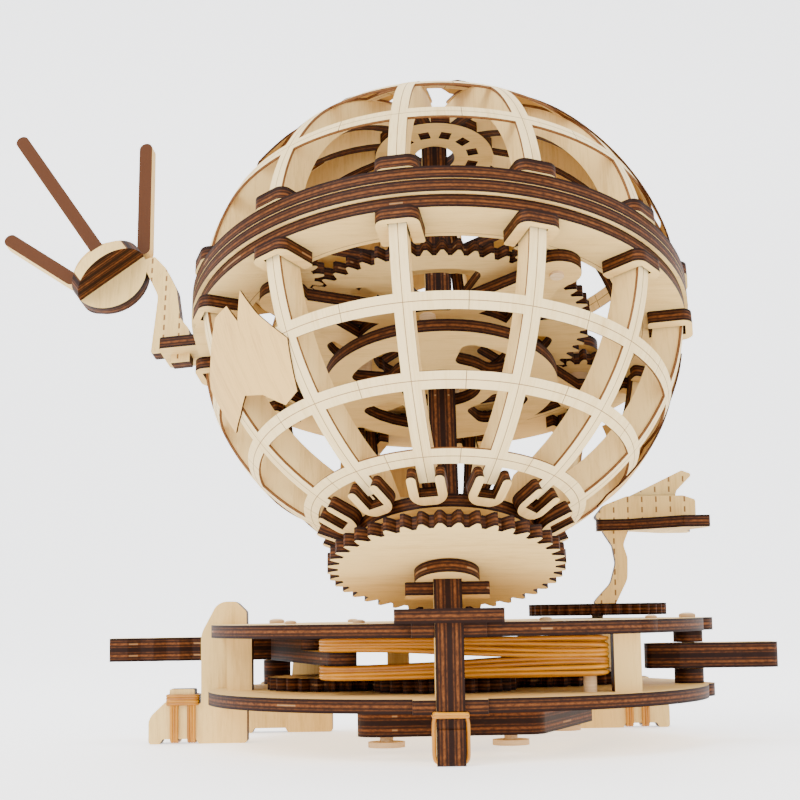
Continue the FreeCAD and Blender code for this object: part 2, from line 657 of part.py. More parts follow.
def build_winding():
    """Handle and arm in two layers on one pin, the band pin, and the rubber-band motor."""
    x, y = HANDLE_PIVOT
    level = size("handle_level")
    running = ring_circle(PIN + FIT, "sizes.pin_radius + sizes.fit")
    ex, ey = arm_end()
    grip = template([grip_outline(), running], SHEET)
    group("winding_handle", grip, [at(x, y, level), at(x, y, level + SHEET)])
    start_turn = math.degrees(math.atan2(ey - y, ex - x))
    sx, sy = point(size("handle_width") / 2 + 0.2, start_turn)
    width = 9.0
    arm_start = (x + sx * 1.75, y + sy * 1.75)
    hook = ring_circle(BAND_PIN, None, ex, ey)
    arm = template([bar(arm_start, (ex, ey), width), hook], SHEET)
    middle = (x + (ex - x) * 0.62, y + (ey - y) * 0.62)
    stiffener = template([bar(arm_start, middle, width)], SHEET)
    stiffener.Placement = at(0, 0, SHEET)
    made("winding_arm", Part.makeCompound([arm, stiffener]), at(0, 0, level))
    pin("band_pin", (ex, ey), level - 4.2, "3 * sizes.sheet", "%f" % BAND_PIN)
    bands = []
    lower = FLOOR + SHEET + 2 * size("run_gap") + 0.3
    thick = size("motor_band")
    for low in (lower, TOP - SHEET - thick - 0.6):
        bands.append(band_loop((ex, ey), BAND_PIN + 0.3, BAND_HOOK, PIN + 0.3, low, thick))
    made("motor_bands", Part.makeCompound(bands))



def hull(start, start_radius, end, end_radius):
    """Outline of a belt round two circles."""
    ax, ay = start
    bx, by = end
    turn = math.degrees(math.atan2(by - ay, bx - ax))
    span = math.hypot(bx - ax, by - ay)
    lean = math.degrees(math.acos((start_radius - end_radius) / span))
    points = []
    for cx, cy, radius in ((ax, ay, start_radius), (bx, by, end_radius)):
        for side in (1, -1):
            dx, dy = point(radius, turn + side * lean)
            points.append(Vector(cx + dx, cy + dy, 0))
    return [arc(ax, ay, start_radius, turn + lean, turn - lean + 360.0), Part.LineSegment(points[1], points[3]),
            arc(bx, by, end_radius, turn - lean, turn + lean), Part.LineSegment(points[2], points[0])]


def band_loop(start, start_radius, end, end_radius, low, thick):
    """One bundle of the rubber motor: a belt with a wall as thick as the bundle."""
    wall = 3.2
    loop = template([hull(start, start_radius + wall, end, end_radius + wall),
                     hull(start, start_radius, end, end_radius)], thick)
    loop.Placement = at(0, 0, low)
    return loop


def build_lever():
    """Start lever in two layers, with its pin and washers."""
    x, y = LEVER_PIVOT
    reach, half = size("lever_reach"), 6.5
    outline = rounded([(-14.0, -4.0), (-4.0, -half), (reach - 12.0, -half), (reach, -half - 2.0), (reach, half + 1.0),
                       (reach - 8.0, half + 2.0), (reach - 16.0, half), (-4.0, half), (-14.0, 4.0)],
                      [2.0, 3.0, 4.0, 4.0, 3.0, 3.0, 4.0, 3.0, 2.0])
    running = ring_circle(PIN + FIT, "sizes.pin_radius + sizes.fit")
    lever = template([outline, running], SHEET)
    group("start_lever", lever, [at(x, y, size("lever_level")), at(x, y, size("lever_level") + SHEET)])
    gap = size("run_gap")
    low = size("bottom_level")
    pins = []
    pins.append(Part.makeCylinder(PIN, ROOM, Vector(BAND_HOOK[0], BAND_HOOK[1], FLOOR)))
    for spot, high in ((LEVER_PIVOT, TOP), (HANDLE_PIVOT, TOP), (IDLER, FLOOR + SHEET + 2 * gap + 0.5),
                       (MOTOR, FLOOR + SHEET + 2 * gap + 0.5)):
        pins.append(Part.makeCylinder(PIN, high - low, Vector(spot[0], spot[1], low)))
    made("base_pins", Part.makeCompound(pins))
    washers = []
    for spot, low, high in ((LEVER_PIVOT, FLOOR, size("lever_level") - gap),
                            (LEVER_PIVOT, size("lever_level") + 2 * SHEET + gap, size("top_level")),
                            (HANDLE_PIVOT, FLOOR, size("handle_level") - gap)):
        washer = template([ring_circle(4.7), ring_circle(PIN)], high - low)
        washer.Placement = at(spot[0], spot[1], low)
        washers.append(washer)
    made("lever_washers", Part.makeCompound(washers))


# ---------------------------------------------------------------------------------------------------------
# Shuttle
# ---------------------------------------------------------------------------------------------------------
def build_shuttle():
    """Stand, wing, body and fin of the shuttle, on the toothed disc."""
    x, y = SHUTTLE
    floor = disc_level() + SHEET
    rise = size("stand_height")
    stand = rounded([(-1.5, 0), (6.5, 0), (10.8, 8.5), (11.0, 16.0), (9.6, 20.5), (11.6, rise), (2.4, rise), (5.8, 20.0),
                     (6.8, 14.0), (4.8, 7.0), (0.0, 2.0)], [0.5, 0.5, 8.0, 5.0, 3.0, 0.3, 0.3, 2.5, 5.0, 5.0, 2.0])
    cut_sheet("shuttle_stand", [stand], upright(x, y + SHEET / 2, floor))
    length, half = size("wing_length"), size("wing_span") / 2
    nose = 0.5
    wing = rounded([(nose, -3.0), (nose + 11.0, -5.0), (nose + length - 9.0, -half), (nose + length, -half),
                    (nose + length, -half + 8.0), (nose + length - 3.0, -5.0), (nose + length - 3.0, 5.0),
                    (nose + length, half - 8.0), (nose + length, half), (nose + length - 9.0, half),
                    (nose + 11.0, 5.0), (nose, 3.0)], [2.5, 0, 1.0, 1.0, 0, 0, 0, 0, 1.0, 1.0, 0, 2.5])
    cut_sheet("shuttle_wing", [wing], at(x, y, floor + rise))
    deck = floor + rise + SHEET
    hull_side = rounded([(-1.0, 0.0), (length - 0.8, 0.0), (length - 0.8, 6.5), (length - 5.0, 8.0), (11.0, 8.0),
                         (3.0, 5.0)], [1.0, 0.5, 1.0, 0, 3.0, 3.0])
    cut_sheet("shuttle_body", [hull_side], upright(x, y + SHEET, deck), "2 * sizes.sheet")
    fin = rounded([(12.0, 0.0), (28.5, 0.0), (29.0, 1.8), (34.8, 7.6), (31.0, 9.0)], [0.3, 0.3, 1.0, 0.8, 1.0])
    cut_sheet("shuttle_fin", [fin], upright(x, y + SHEET / 2, deck + 8.0))


# ---------------------------------------------------------------------------------------------------------
# Globe
# ---------------------------------------------------------------------------------------------------------
def build_globe_bottom():
    """Globe wheel, crown plate and the blocks between them."""
    level = -size("globe_gear_level")
    bore = [ring_circle(size("shaft_bore"), "sizes.shaft_bore")]
    cut_sheet("globe_wheel", [gear_outline(size("globe_teeth"), TRAIN, 90.0)] + bore,
              globe_placement(at(0, 0, level)))
    crown = -size("crown_level") - SHEET
    cut_sheet("crown_plate", [ring_circle(size("crown_radius"), "sizes.crown_radius")] + bore,
              globe_placement(at(0, 0, crown)))


def rib_template(lower):
    """A rib in an R-Z drawing, from the rings to the crown plate or to the polar disc, as a solid."""
    outer, inner = RIB_OUTER - 0.03, RIB_INNER
    steps = 16

    def run(radius, low, high):
        turns = [low + (high - low) * i / steps for i in range(steps + 1)]
        return [point(radius, turn) for turn in turns]
    if lower:
        end = size("crown_level")
        stop = math.degrees(math.asin(end / outer))
        rim = run(outer, math.degrees(math.asin(STACK / outer)), stop)
        back = run(inner, math.degrees(math.asin(STACK / inner)), 66.0)
        foot = [(rim[-1][0] - 5.5, end)]
        points = rim + foot + list(reversed(back))
        points = [(px, -pz) for px, pz in points]
    else:
        end = size("polar_level")
        edge, step = 14.0, size("polar_radius") + 0.1
        rim = run(outer, math.degrees(math.asin(STACK / outer)), math.degrees(math.acos(edge / outer)))
        back = run(inner, math.degrees(math.asin(STACK / inner)), math.degrees(math.acos(step / inner)))
        foot = [(edge, end), (step, end)]
        points = rim + foot + list(reversed(back))
    solid = template([polygon(points)], SHEET)
    solid.Placement = Placement(Vector(0, SHEET / 2, 0), Rotation(Vector(1, 0, 0), 90))
    return solid


def shell_piece(low, high, spread, inner, outer):
    """Part of a spherical shell between two latitudes and an azimuth spread about +X, degrees."""
    low, high = math.radians(low), math.radians(high)
    middle = (low + high) / 2

    def spot(radius, angle):
        return Vector(radius * math.cos(angle), 0, radius * math.sin(angle))
    edges = [Part.Arc(spot(outer, low), spot(outer, middle), spot(outer, high)).toShape(),
             Part.LineSegment(spot(outer, high), spot(inner, high)).toShape(),
             Part.Arc(spot(inner, high), spot(inner, middle), spot(inner, low)).toShape(),
             Part.LineSegment(spot(inner, low), spot(outer, low)).toShape()]
    face = Part.Face(Part.Wire(edges))
    face.rotate(Vector(0, 0, 0), Vector(0, 0, 1), -spread)
    return face.revolve(Vector(0, 0, 0), Vector(0, 0, 1), 2 * spread)


def lattice_template(start, rows, end):
    """One lattice strip: a meridian band with half a span of each latitude band on either side."""
    outer, inner = size("sphere_radius"), RIB_OUTER
    spread = 180.0 / size("rib_count") - 0.04
    half_row = math.degrees(size("strip_width") / 2 / outer)
    gore = shell_piece(start, end, spread, inner, outer)
    slab = Part.makeBox(3 * outer, size("strip_width"), 4 * outer,
                        Vector(-0.5 * outer, -size("strip_width") / 2, -2 * outer))
    edges = [start - 1.0] + [edge for row in rows for edge in (row - half_row, row + half_row)] + [end + 1.0]
    for low, high in zip(edges[0::2], edges[1::2]):
        window = shell_piece(low, high, spread + 1.0, inner - 1.0, outer + 1.0).cut(slab)
        gore = gore.cut(window)
    return gore.Solids[0]


def clip_template():
    """A flat clip in the plane of the rings: a rounded block with a slot for a rib and its strip."""
    slot = size("strip_width") / 2 + 0.2
    wide = slot + 3.4
    inside, outside = RIB_INNER - 2.0, size("ring_radius") + 0.6
    bottom = size("sphere_radius") + 0.15
    points = [(inside, -wide), (outside, -wide), (outside, wide), (inside, wide), (inside, slot), (bottom, slot),
              (bottom, -slot), (inside, -slot)]
    return template([rounded(points, [1.0, 3.0, 3.0, 1.0, 0.5, 0, 0, 0.5])], SHEET)


def crown_clip_template():
    """A U-shaped clip that lies on the globe round the end of a strip, drawn with its normal along +X."""
    slot = size("strip_width") / 2 + 0.2
    wide, high, bottom = slot + 2.6, 10.4, 3.0
    points = [(-wide, 0), (wide, 0), (wide, high), (slot, high), (slot, bottom), (-slot, bottom), (-slot, high),
              (-wide, high)]
    solid = template([rounded(points, [4.0, 4.0, 1.2, 1.2, 0, 0, 1.2, 1.2])], SHEET)
    solid.Placement = Placement(Vector(0, 0, 0), Rotation(Vector(1, 1, 1), 120))
    return solid


def build_globe_half(lower):
    """Ribs, lattice strips and clips of one half of the globe."""
    name = "lower" if lower else "upper"
    rib = rib_template(lower)
    turns = [azimuth(a) for a in RIB_AZIMUTHS]
    group(name + "_ribs", rib, turns, globe_placement())
    ring_edge = math.degrees(math.asin((STACK + 0.1) / size("sphere_radius")))
    if lower:
        strip = lattice_template(-65.0, [-58.3, -41.0, -24.6], -ring_edge)
    else:
        strip = lattice_template(ring_edge, [24.4, 46.3, 62.5], 76.0)
    group(name + "_lattice", strip, turns, globe_placement())
    if lower:
        latitude = -69.2
        seat = RIB_OUTER + 0.15
        radius, level = seat * math.cos(math.radians(latitude)), seat * math.sin(math.radians(latitude))
        tip = Placement(Vector(radius, 0, level), Rotation(Vector(0, 1, 0), -(latitude + 3.5)))
        u_clip = crown_clip_template()
        group("crown_clips", u_clip, [azimuth(a).multiply(tip) for a in RIB_AZIMUTHS], globe_placement())


def build_rings():
    """Lower ring, satellite ring and upper ring, the polar disc, and the spacers that join the globe's rings."""
    lower_radius = size("ring_radius") - size("ring_step")
    inner = ring_circle(size("ring_inner"), "sizes.ring_inner")
    cut_sheet("globe_ring_lower", [ring_circle(lower_radius, "sizes.ring_radius - sizes.ring_step"), inner],
              globe_placement(at(0, 0, -STACK)))
    cut_sheet("globe_ring_upper", [ring_circle(size("ring_radius"), "sizes.ring_radius"), inner],
              globe_placement(at(0, 0, STACK - SHEET)))
    clips = [azimuth(a, 0.0, low) for low in (-STACK - SHEET, STACK) for a in RIB_AZIMUTHS]
    group("ring_clips", clip_template(), clips, globe_placement())
    holes = []
    for i in range(12):
        cx, cy = point(12.6, 30.0 * i + 15.0)
        holes.append(square_hole(cx, cy, 1.7, 30.0 * i + 15.0))
    cut_sheet("polar_disc", [ring_circle(size("polar_radius"), "sizes.polar_radius"),
                             ring_circle(size("shaft_bore"), "sizes.shaft_bore")] + holes,
              globe_placement(at(0, 0, size("polar_level") - SHEET)))


def square_hole(cx, cy, half, turn):
    """Square opening turned about its own middle."""
    corners = [point(half * math.sqrt(2), turn + 45.0 + 90.0 * k) for k in range(4)]
    return polygon([(cx + dx, cy + dy) for dx, dy in corners])


def frame_plate_template():
    """A frame plate: hub ring with two arms to a rounded end at each planet pin."""
    hub_inner = size("hub_hole")
    hub_outer = hub_inner + 6.0
    plate_solid = template([ring_circle(hub_outer), ring_circle(hub_inner)], SHEET)
    pieces = []
    for turn in PLANETS:
        cx, cy = point(PLANET_CIRCLE, turn - 90.0)
        for lean in (-26.0, 26.0):
            pieces.append(template([bar(point(hub_inner + 3.0, turn - 90.0 + lean), (cx, cy), size("lobe_radius"))], SHEET))
        pieces.append(template([ring_circle(size("lobe_radius"), None, cx, cy)], SHEET))
    plate_solid = plate_solid.fuse(pieces).removeSplitter()
    for turn in PLANETS:
        cx, cy = point(PLANET_CIRCLE, turn - 90.0)
        plate_solid = plate_solid.cut(Part.makeCylinder(PIN, SHEET, Vector(cx, cy, 0)))
    return plate_solid.Solids[0]


def build_epicyclic():
    """Fixed sun wheel on the column, planet wheels on the globe, toothed satellite ring."""
    sun, planet = size("sun_teeth"), size("planet_teeth")
    square = size("shaft_side") / 2 + FIT
    sun_windows = [sector_window(17.0, 36.0, 60.0 * i + 8.0, 60.0 * i + 50.0, 3.0) for i in range(6)]
    cut_sheet("sun_wheel", [gear_outline(sun, MODULE, 0.0), box_outline(-square, -square, square, square)]
              + sun_windows, globe_placement(at(0, 0, -SHEET / 2)))
    running = ring_circle(PIN + FIT, "sizes.pin_radius + sizes.fit")
    ring_phase = 0.0
    for number, turn in enumerate(PLANETS, start=1):
        direction = turn - 90.0
        phase = mesh_phase(0.0, sun, direction, planet)
        cx, cy = point(PLANET_CIRCLE, direction)
        cut_sheet("planet_wheel_%d" % number, [gear_outline(planet, MODULE, phase), running],
                  globe_placement(at(cx, cy, -SHEET / 2)))
        ring_phase = direction + (phase - direction) * planet / RING_TEETH
    satellite_ring(ring_phase)
    level = -STACK - SHEET
    group("frame_plates", frame_plate_template(), [at(0, 0, level), at(0, 0, STACK)], globe_placement())
    axle = Part.makeCylinder(PIN, 2 * STACK + 2 * SHEET + 1.6)
    gap = size("run_gap")
    washer = template([ring_circle(4.2), ring_circle(PIN)], STACK - SHEET / 2 - gap)
    parts = []
    for turn in PLANETS:
        for solid, low in ((axle, level - 0.8), (washer, -STACK), (washer, SHEET / 2 + gap)):
            copy = solid.copy()
            copy.Placement = azimuth(turn, PLANET_CIRCLE, low)
            parts.append(copy)
    made("planet_pins", Part.makeCompound(parts), globe_placement())
    low_disc = [ring_circle(size("low_disc_radius"), "sizes.low_disc_radius"), ring_circle(12.0)]
    low_disc += [sector_window(16.0, 28.0, 90.0 * i + 12.0, 90.0 * i + 62.0, 3.0) for i in range(4)]
    low_level = -size("low_disc_level")
    cut_sheet("lower_frame_disc", low_disc, globe_placement(at(0, 0, low_level)))
    build_globe_rods(level, low_level)


def build_globe_rods(frame_level, disc_level_low):
    """Round spacers: wheel to crown plate, lower frame disc to frame plate, and ring to ring."""
    rods = []

    def rod(radius, turn, reach, low, high):
        """One spacer standing between two levels of the globe frame."""
        solid = Part.makeCylinder(radius, high - low)
        solid.Placement = azimuth(turn, reach, low)
        rods.append(solid)
    for quarter in range(4):
        rod(4.0, 45.0 + 90.0 * quarter, size("crown_radius") * 0.6, SHEET - size("globe_gear_level"),
            -size("crown_level") - SHEET)
    for turn in PLANETS:
        rod(2.4, turn + 45.0, size("hub_hole") + 3.0, disc_level_low + SHEET, frame_level)
        for beside_pin in (30.0, 60.0):
            rod(1.7, turn + beside_pin, size("ring_inner") + 1.9, SHEET - STACK, STACK - SHEET)
    made("globe_spacers", Part.makeCompound(rods), globe_placement())


def satellite_ring(phase):
    """Middle ring: teeth inside, a bracket with a mortise outside."""
    outer, reach = size("ring_radius"), size("satellite_reach")
    turn = size("satellite_azimuth") - 90.0
    label = "satellite_ring"
    body = doc.addObject("PartDesign::Body", "Body_" + label)
    pad = body.newObject("PartDesign::Pad", "Pad_" + label)
    pad.Profile = add_sketch(body, "Outline_" + label, [ring_circle(outer, "sizes.ring_radius"),
                                                        gear_outline(RING_TEETH, MODULE, phase - turn, True)])
    pad.setExpression("Length", "sizes.sheet")
    tab = body.newObject("PartDesign::Pad", "Bracket_" + label)
    tab.Profile = add_sketch(body, "Bracket_outline_" + label,
                             [box_outline(outer - 4.0, -6.5, outer + reach, 6.5, 1.0)])
    tab.setExpression("Length", "sizes.sheet")
    cut = body.newObject("PartDesign::Pocket", "Mortise_" + label)
    half = SHEET / 2
    cut.Profile = add_sketch(body, "Mortise_outline_" + label,
                             [box_outline(outer + 3.2, -half, outer + 9.2, half)])
    cut.Type = "ThroughAll"
    cut.Reversed = True
    body.Tip = cut
    body.Placement = globe_placement(at(0, 0, -SHEET / 2, turn))
    export(body, label)


def build_satellite():
    """Arm, crossed round plates and three antennas of the satellite, drawn in an R-Z plane."""
    edge = size("ring_radius")
    rise, dish = size("arm_height"), size("dish_radius")
    hub = (edge + 31.5, rise - 3.9)
    plane = globe_placement(azimuth(size("satellite_azimuth")))
    stand = Placement(Vector(0, SHEET / 2, 0), Rotation(Vector(1, 0, 0), 90))
    half = SHEET / 2
    outline = [(3.2, -half - 3.0), (9.2, -half - 3.0), (9.2, half), (12.4, half), (12.4, -1.0), (16.0, -1.0),
               (15.2, 10.5), (14.6, 20.0), (21.0, rise), (16.5, rise + 1.0), (12.4, 30.0), (8.6, 22.0), (6.9, 11.0),
               (4.0, 7.0), (3.2, half)]
    corners = [0, 0, 0, 0, 0, 1.0, 3.0, 6.0, 0, 1.0, 6.0, 8.0, 4.0, 1.5, 0]
    arm = template([rounded([(edge + across, up) for across, up in outline], corners)], SHEET)
    disc = template([ring_circle(dish)], SHEET)
    disc.Placement = at(hub[0], hub[1], 0)
    arm = arm.cut(disc).Solids[0]
    made("satellite_arm", arm, plane.multiply(stand))
    whole = template([ring_circle(dish)], SHEET)
    whole.Placement = stand.multiply(at(hub[0], hub[1]))
    wing = template([[arc(0, 0, dish, -90.0, 90.0), Part.LineSegment(Vector(0, dish, 0), Vector(0, -dish, 0))]], SHEET)
    halves = [whole]
    cross = Placement(Vector(hub[0], 0, hub[1]), Rotation(Vector(0, 1, 0), 35.0))
    for side in (1, -1):
        local = cross.multiply(Placement(Vector(0, side * half, -half), Rotation(Vector(0, 0, 1), 90.0 * side)))
        copy = wing.copy()
        copy.Placement = local
        halves.append(copy)
    made("satellite_body", Part.makeCompound(halves), plane)
    reach = size("antenna_length")
    feet = ((edge + 34.3, rise + 3.0, 57.5, reach + 12.0, 1), (edge + 21.9, rise + 7.2, 88.0, reach - 4.0, -1),
            (edge + 42.8, rise - 6.4, 38.0, reach - 16.0, 1))
    antennas = []
    for across, up, turn, length, side in feet:
        dx, dy = point(length, turn)
        rod = template([bar((across, up), (across + dx, up + dy), 4.4)], SHEET)
        shift = half + SHEET if side > 0 else -half
        rod.Placement = Placement(Vector(0, shift, 0), Rotation(Vector(1, 0, 0), 90))
        antennas.append(rod)
    made("satellite_antennas", Part.makeCompound(antennas), plane)


# ---------------------------------------------------------------------------------------------------------
# Land: simplified outlines as (longitude, latitude)
# ---------------------------------------------------------------------------------------------------------
LAND = {
    "land_australia": [
        [(114, -22), (122, -18), (130, -12), (136, -12), (139, -17), (142, -11), (146, -18), (153, -26),
         (150, -37), (144, -38.5), (138, -34), (131, -31.5), (124, -33.5), (115, -34.5)],
    ],
    "land_americas": [
        [(-165, 66), (-156, 71), (-128, 70), (-95, 72), (-82, 66), (-92, 59), (-80, 54), (-78, 62),
         (-62, 58), (-56, 51), (-66, 44), (-75, 38), (-81, 30), (-84, 29), (-97, 27), (-94, 18), (-88, 20),
         (-84, 10), (-95, 15), (-106, 22), (-117, 33), (-124, 42), (-130, 54), (-145, 60), (-158, 57)],
        [(-77, -8.7), (-70, -8.7), (-52, -8.7), (-35, -8.9), (-39, -17), (-48, -27), (-57, -36), (-65, -42),
         (-68, -52), (-74, -50), (-72, -30), (-70, -18), (-76, -13)],
    ],
    "land_africa": [
        [(-17, 14), (-16, 24), (-6, 35), (10, 37), (20, 32), (32, 31), (37, 20), (43, 11.5), (51, 11.5),
         (46, 8.7), (-8, 8.7), (-13, 9)],
        [(10, -8.7), (13, -16), (18, -33), (27, -34), (35, -24), (40, -15), (39, -8.7)],
    ],
    "land_eurasia": [
        [(40, 66), (60, 70), (80, 73), (105, 76), (130, 72), (160, 70), (178, 66), (163, 60), (156, 52),
         (140, 56), (135, 44), (128, 36), (121, 38), (121, 29), (108, 20), (108, 12), (103, 9), (97, 17),
         (90, 22), (80, 14), (77, 8.9), (72, 20), (62, 25), (57, 25.5), (52, 17), (44, 13), (36, 28),
         (36, 36), (42, 41), (50, 46), (60, 55)],
        [(-9, 38), (-9, 43), (-1, 46), (3, 51), (9, 57), (6, 62), (18, 69), (30, 70), (39, 66), (58, 54),
         (48, 46), (40, 42), (30, 46), (27, 41), (22, 38), (15, 40), (8, 44), (0, 39)],
    ],
}
HOME_LONGITUDE = 193.0     # longitude that faces the front at rest, degrees east


def land_shape(outline):
    """A shell over the lattice, cut by the cone of the outline seen from the centre of the globe."""
    inner, outer = size("sphere_radius") + 0.02, size("sphere_radius") + size("land_veneer")
    rays = []
    for longitude, latitude in outline:
        turn = math.radians(longitude - HOME_LONGITUDE - 90.0)
        tall = math.radians(latitude)
        rays.append(Vector(math.cos(tall) * math.cos(turn), math.cos(tall) * math.sin(turn), math.sin(tall)))
    middle = Vector(0, 0, 0)
    for ray in rays:
        middle += ray
    middle.normalize()
    near, far = 0.25 * inner, 1.08 * outer
    rings = []
    for distance in (near, far):
        rings.append([ray * (distance / ray.dot(middle)) for ray in rays])
    faces = []
    count = len(rays)
    for i in range(count):
        following = (i + 1) % count
        corners = [rings[0][i], rings[0][following], rings[1][following], rings[1][i]]
        faces.append(Part.Face(Part.makePolygon(corners + [corners[0]])))
    for ring in rings:
        faces.append(Part.Face(Part.makePolygon(ring + [ring[0]])))
    cone = Part.Solid(Part.Shell(faces))
    if cone.Volume < 0:
        cone.reverse()
    shell = Part.makeSphere(outer).cut(Part.makeSphere(inner))
    return shell.common(cone).Solids[0]


def build_land():
    """Land shells that lie on the lattice."""
    for label, outlines in LAND.items():
        made(label, Part.makeCompound([land_shape(outline) for outline in outlines]), globe_placement())


def check_and_write():
    """Stop on any failed object or shape, then write each piece to its own file."""
    doc.recompute()
    for item in doc.Objects:
        if "Invalid" in item.State or "Error" in item.State:
            raise RuntimeError("%s did not build: %s" % (item.Label, item.State))
    os.makedirs("parts", exist_ok=True)
    for item in exported:
        shape = item.Shape
        if shape.isNull() or not shape.isValid() or shape.Volume <= 0:
            raise RuntimeError("%s has no valid solid" % item.Label)
        shape.exportStep(os.path.join("parts", item.Label + ".step"))
        print("%-24s solids %2d  volume %9.1f" % (item.Label, len(shape.Solids), shape.Volume))
    print("%d pieces written" % len(exported))


build_base_plates()
build_column()
build_feet()
build_posts()
build_base_train()
build_winding()
build_lever()
build_shuttle()
build_globe_bottom()
build_globe_half(True)
build_globe_half(False)
build_rings()
build_epicyclic()
build_satellite()
build_land()
check_and_write()
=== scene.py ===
"""Looks of a laser-cut plywood orrery, dressed over its engineering frame.

The frame gives every cut sheet its true shape, so most sheets stay and take a plywood finish that knows
which way each sheet lies: pale grained faces, burnt edges with the plies showing, and engraved lines.
The rubber bands, pin heads and engraved trim are modelled here. All lengths are metres in the frame's axes.
"""

import json
import logging
import math
from dataclasses import dataclass, field
from enum import Enum

import bpy
import numpy as np
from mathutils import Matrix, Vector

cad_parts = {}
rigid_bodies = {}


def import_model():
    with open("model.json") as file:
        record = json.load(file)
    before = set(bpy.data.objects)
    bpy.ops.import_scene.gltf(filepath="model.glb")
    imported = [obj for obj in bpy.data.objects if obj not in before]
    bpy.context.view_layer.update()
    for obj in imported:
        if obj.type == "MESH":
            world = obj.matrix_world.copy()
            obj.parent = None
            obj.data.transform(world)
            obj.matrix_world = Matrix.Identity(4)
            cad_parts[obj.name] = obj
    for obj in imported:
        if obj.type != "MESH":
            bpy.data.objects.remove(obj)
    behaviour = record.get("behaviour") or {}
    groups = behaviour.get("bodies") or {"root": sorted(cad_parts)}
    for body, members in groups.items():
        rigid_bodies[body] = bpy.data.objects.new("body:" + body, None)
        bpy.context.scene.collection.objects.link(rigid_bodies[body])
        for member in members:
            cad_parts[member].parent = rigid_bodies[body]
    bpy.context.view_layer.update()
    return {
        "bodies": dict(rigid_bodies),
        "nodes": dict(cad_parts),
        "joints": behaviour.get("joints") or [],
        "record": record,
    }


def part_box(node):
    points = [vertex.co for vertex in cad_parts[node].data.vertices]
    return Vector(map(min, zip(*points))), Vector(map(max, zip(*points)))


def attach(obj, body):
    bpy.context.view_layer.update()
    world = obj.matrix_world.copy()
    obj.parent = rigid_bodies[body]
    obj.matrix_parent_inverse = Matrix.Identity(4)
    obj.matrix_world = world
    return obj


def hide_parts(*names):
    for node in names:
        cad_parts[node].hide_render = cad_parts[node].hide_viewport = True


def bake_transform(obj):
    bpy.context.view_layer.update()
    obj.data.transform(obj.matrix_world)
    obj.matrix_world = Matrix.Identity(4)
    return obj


LOG = logging.getLogger("orrery")
MM = 0.001
SHEET = 4.0 * MM
TILT = math.radians(20.0)
AXIS = (0.0, math.sin(TILT), math.cos(TILT))
FRONTWARD = (0.0, math.cos(TILT), -math.sin(TILT))
CENTRE = (0.0, 96.2 * MM * math.sin(TILT), 39.0 * MM + 96.2 * MM * math.cos(TILT))
SPHERE = 73.8 * MM
RIB_STEP = math.radians(30.0)
FIRST_RIB = math.radians(20.0)


class Lay(Enum):
    """Which way a sheet lies, which sets its face direction and its grain."""

    FLAT = "level, faces up and down"
    SIDE = "upright, faces left and right"
    FRONT = "upright, faces to the front and back"
    LEAN = "square to the globe's axis"
    RIB = "in a plane through the globe's axis"
    SHELL = "on the globe's surface"
    SATELLITE = "in the plane of the satellite's arm"
    ROD = "square rods in the plane of the satellite's arm, burnt on the two sides that face out of it"


class Mark(Enum):
    """What the laser has engraved on a sheet's faces."""

    NONE = "plain"
    LATTICE = "centre lines along both families of strips, and a seam at mid-span"
    DASHES = "a row of dashes and dots up the middle"
    DIAMONDS = "two rows of diamonds"
    SCRIBES = "short level scribe lines"
    RINGS = "fine circles round the globe's axis"


@dataclass(frozen=True)
class Plywood:
    """A plywood finish.

    Attributes:
        name: Name of the material.
        lay: Which way the sheet lies.
        pale: Linear colour of the face veneer.
        streak: Linear colour of the grain lines.
        burnt: Linear colour of the charred edge.
        ply: Linear colour of the lighter plies that show in the edge.
        thickness: Thickness of the sheet.
        mark: Engraving on the faces.
        seed: Offset of the grain, so that no two sheets match.
        turn: Direction of the grain within the sheet, radians.
    """

    name: str
    lay: Lay
    pale: tuple = (0.74, 0.51, 0.195)
    streak: tuple = (0.48, 0.28, 0.080)
    burnt: tuple = (0.012, 0.0028, 0.0006)
    ply: tuple = (0.17, 0.052, 0.011)
    thickness: float = SHEET
    mark: Mark = Mark.NONE
    seed: float = 0.0
    turn: float = 0.0


@dataclass(frozen=True)
class Latex:
    """An amber rubber finish.

    Attributes:
        name: Name of the material.
        light: Linear colour of thin, stretched rubber.
        deep: Linear colour of thicker rubber.
    """

    name: str
    light: tuple = (0.58, 0.245, 0.001)
    deep: tuple = (0.25, 0.075, 0.0005)


class Flow:
    """A shader value that takes part in plain arithmetic, one Math node for each step."""

    def __init__(self, canvas: "Canvas", socket) -> None:
        """Keeps the canvas and the socket that carries the value."""
        self.canvas = canvas
        self.socket = socket

    def math(self, operation: str, *others) -> "Flow":
        """Applies a Math node.

        Args:
            operation: Name of the operation.
            *others: The remaining operands, flows or numbers.

        Returns:
            The result as a flow.
        """
        node = self.canvas.node("ShaderNodeMath", (self, *others), operation=operation)
        return Flow(self.canvas, node.outputs[0])

    def __add__(self, other) -> "Flow":
        return self.math("ADD", other)

    def __sub__(self, other) -> "Flow":
        return self.math("SUBTRACT", other)

    def __mul__(self, other) -> "Flow":
        return self.math("MULTIPLY", other)

    def __truediv__(self, other) -> "Flow":
        return self.math("DIVIDE", other)

    def __abs__(self) -> "Flow":
        return self.math("ABSOLUTE")

    def below(self, limit) -> "Flow":
        """One where the value is under the limit, else zero."""
        return self.math("LESS_THAN", limit)

    def above(self, limit) -> "Flow":
        """One where the value is over the limit, else zero."""
        return self.math("GREATER_THAN", limit)

    def most(self, other) -> "Flow":
        """The larger of two values."""
        return self.math("MAXIMUM", other)

    def bell(self, centre: float, width: float) -> "Flow":
        """Smooth bump of height one round a centre, as exp(-(x - centre)^2 / width^2)."""
        offset = (self - centre) / width
        return ((offset * offset) * -1.0).math("EXPONENT")


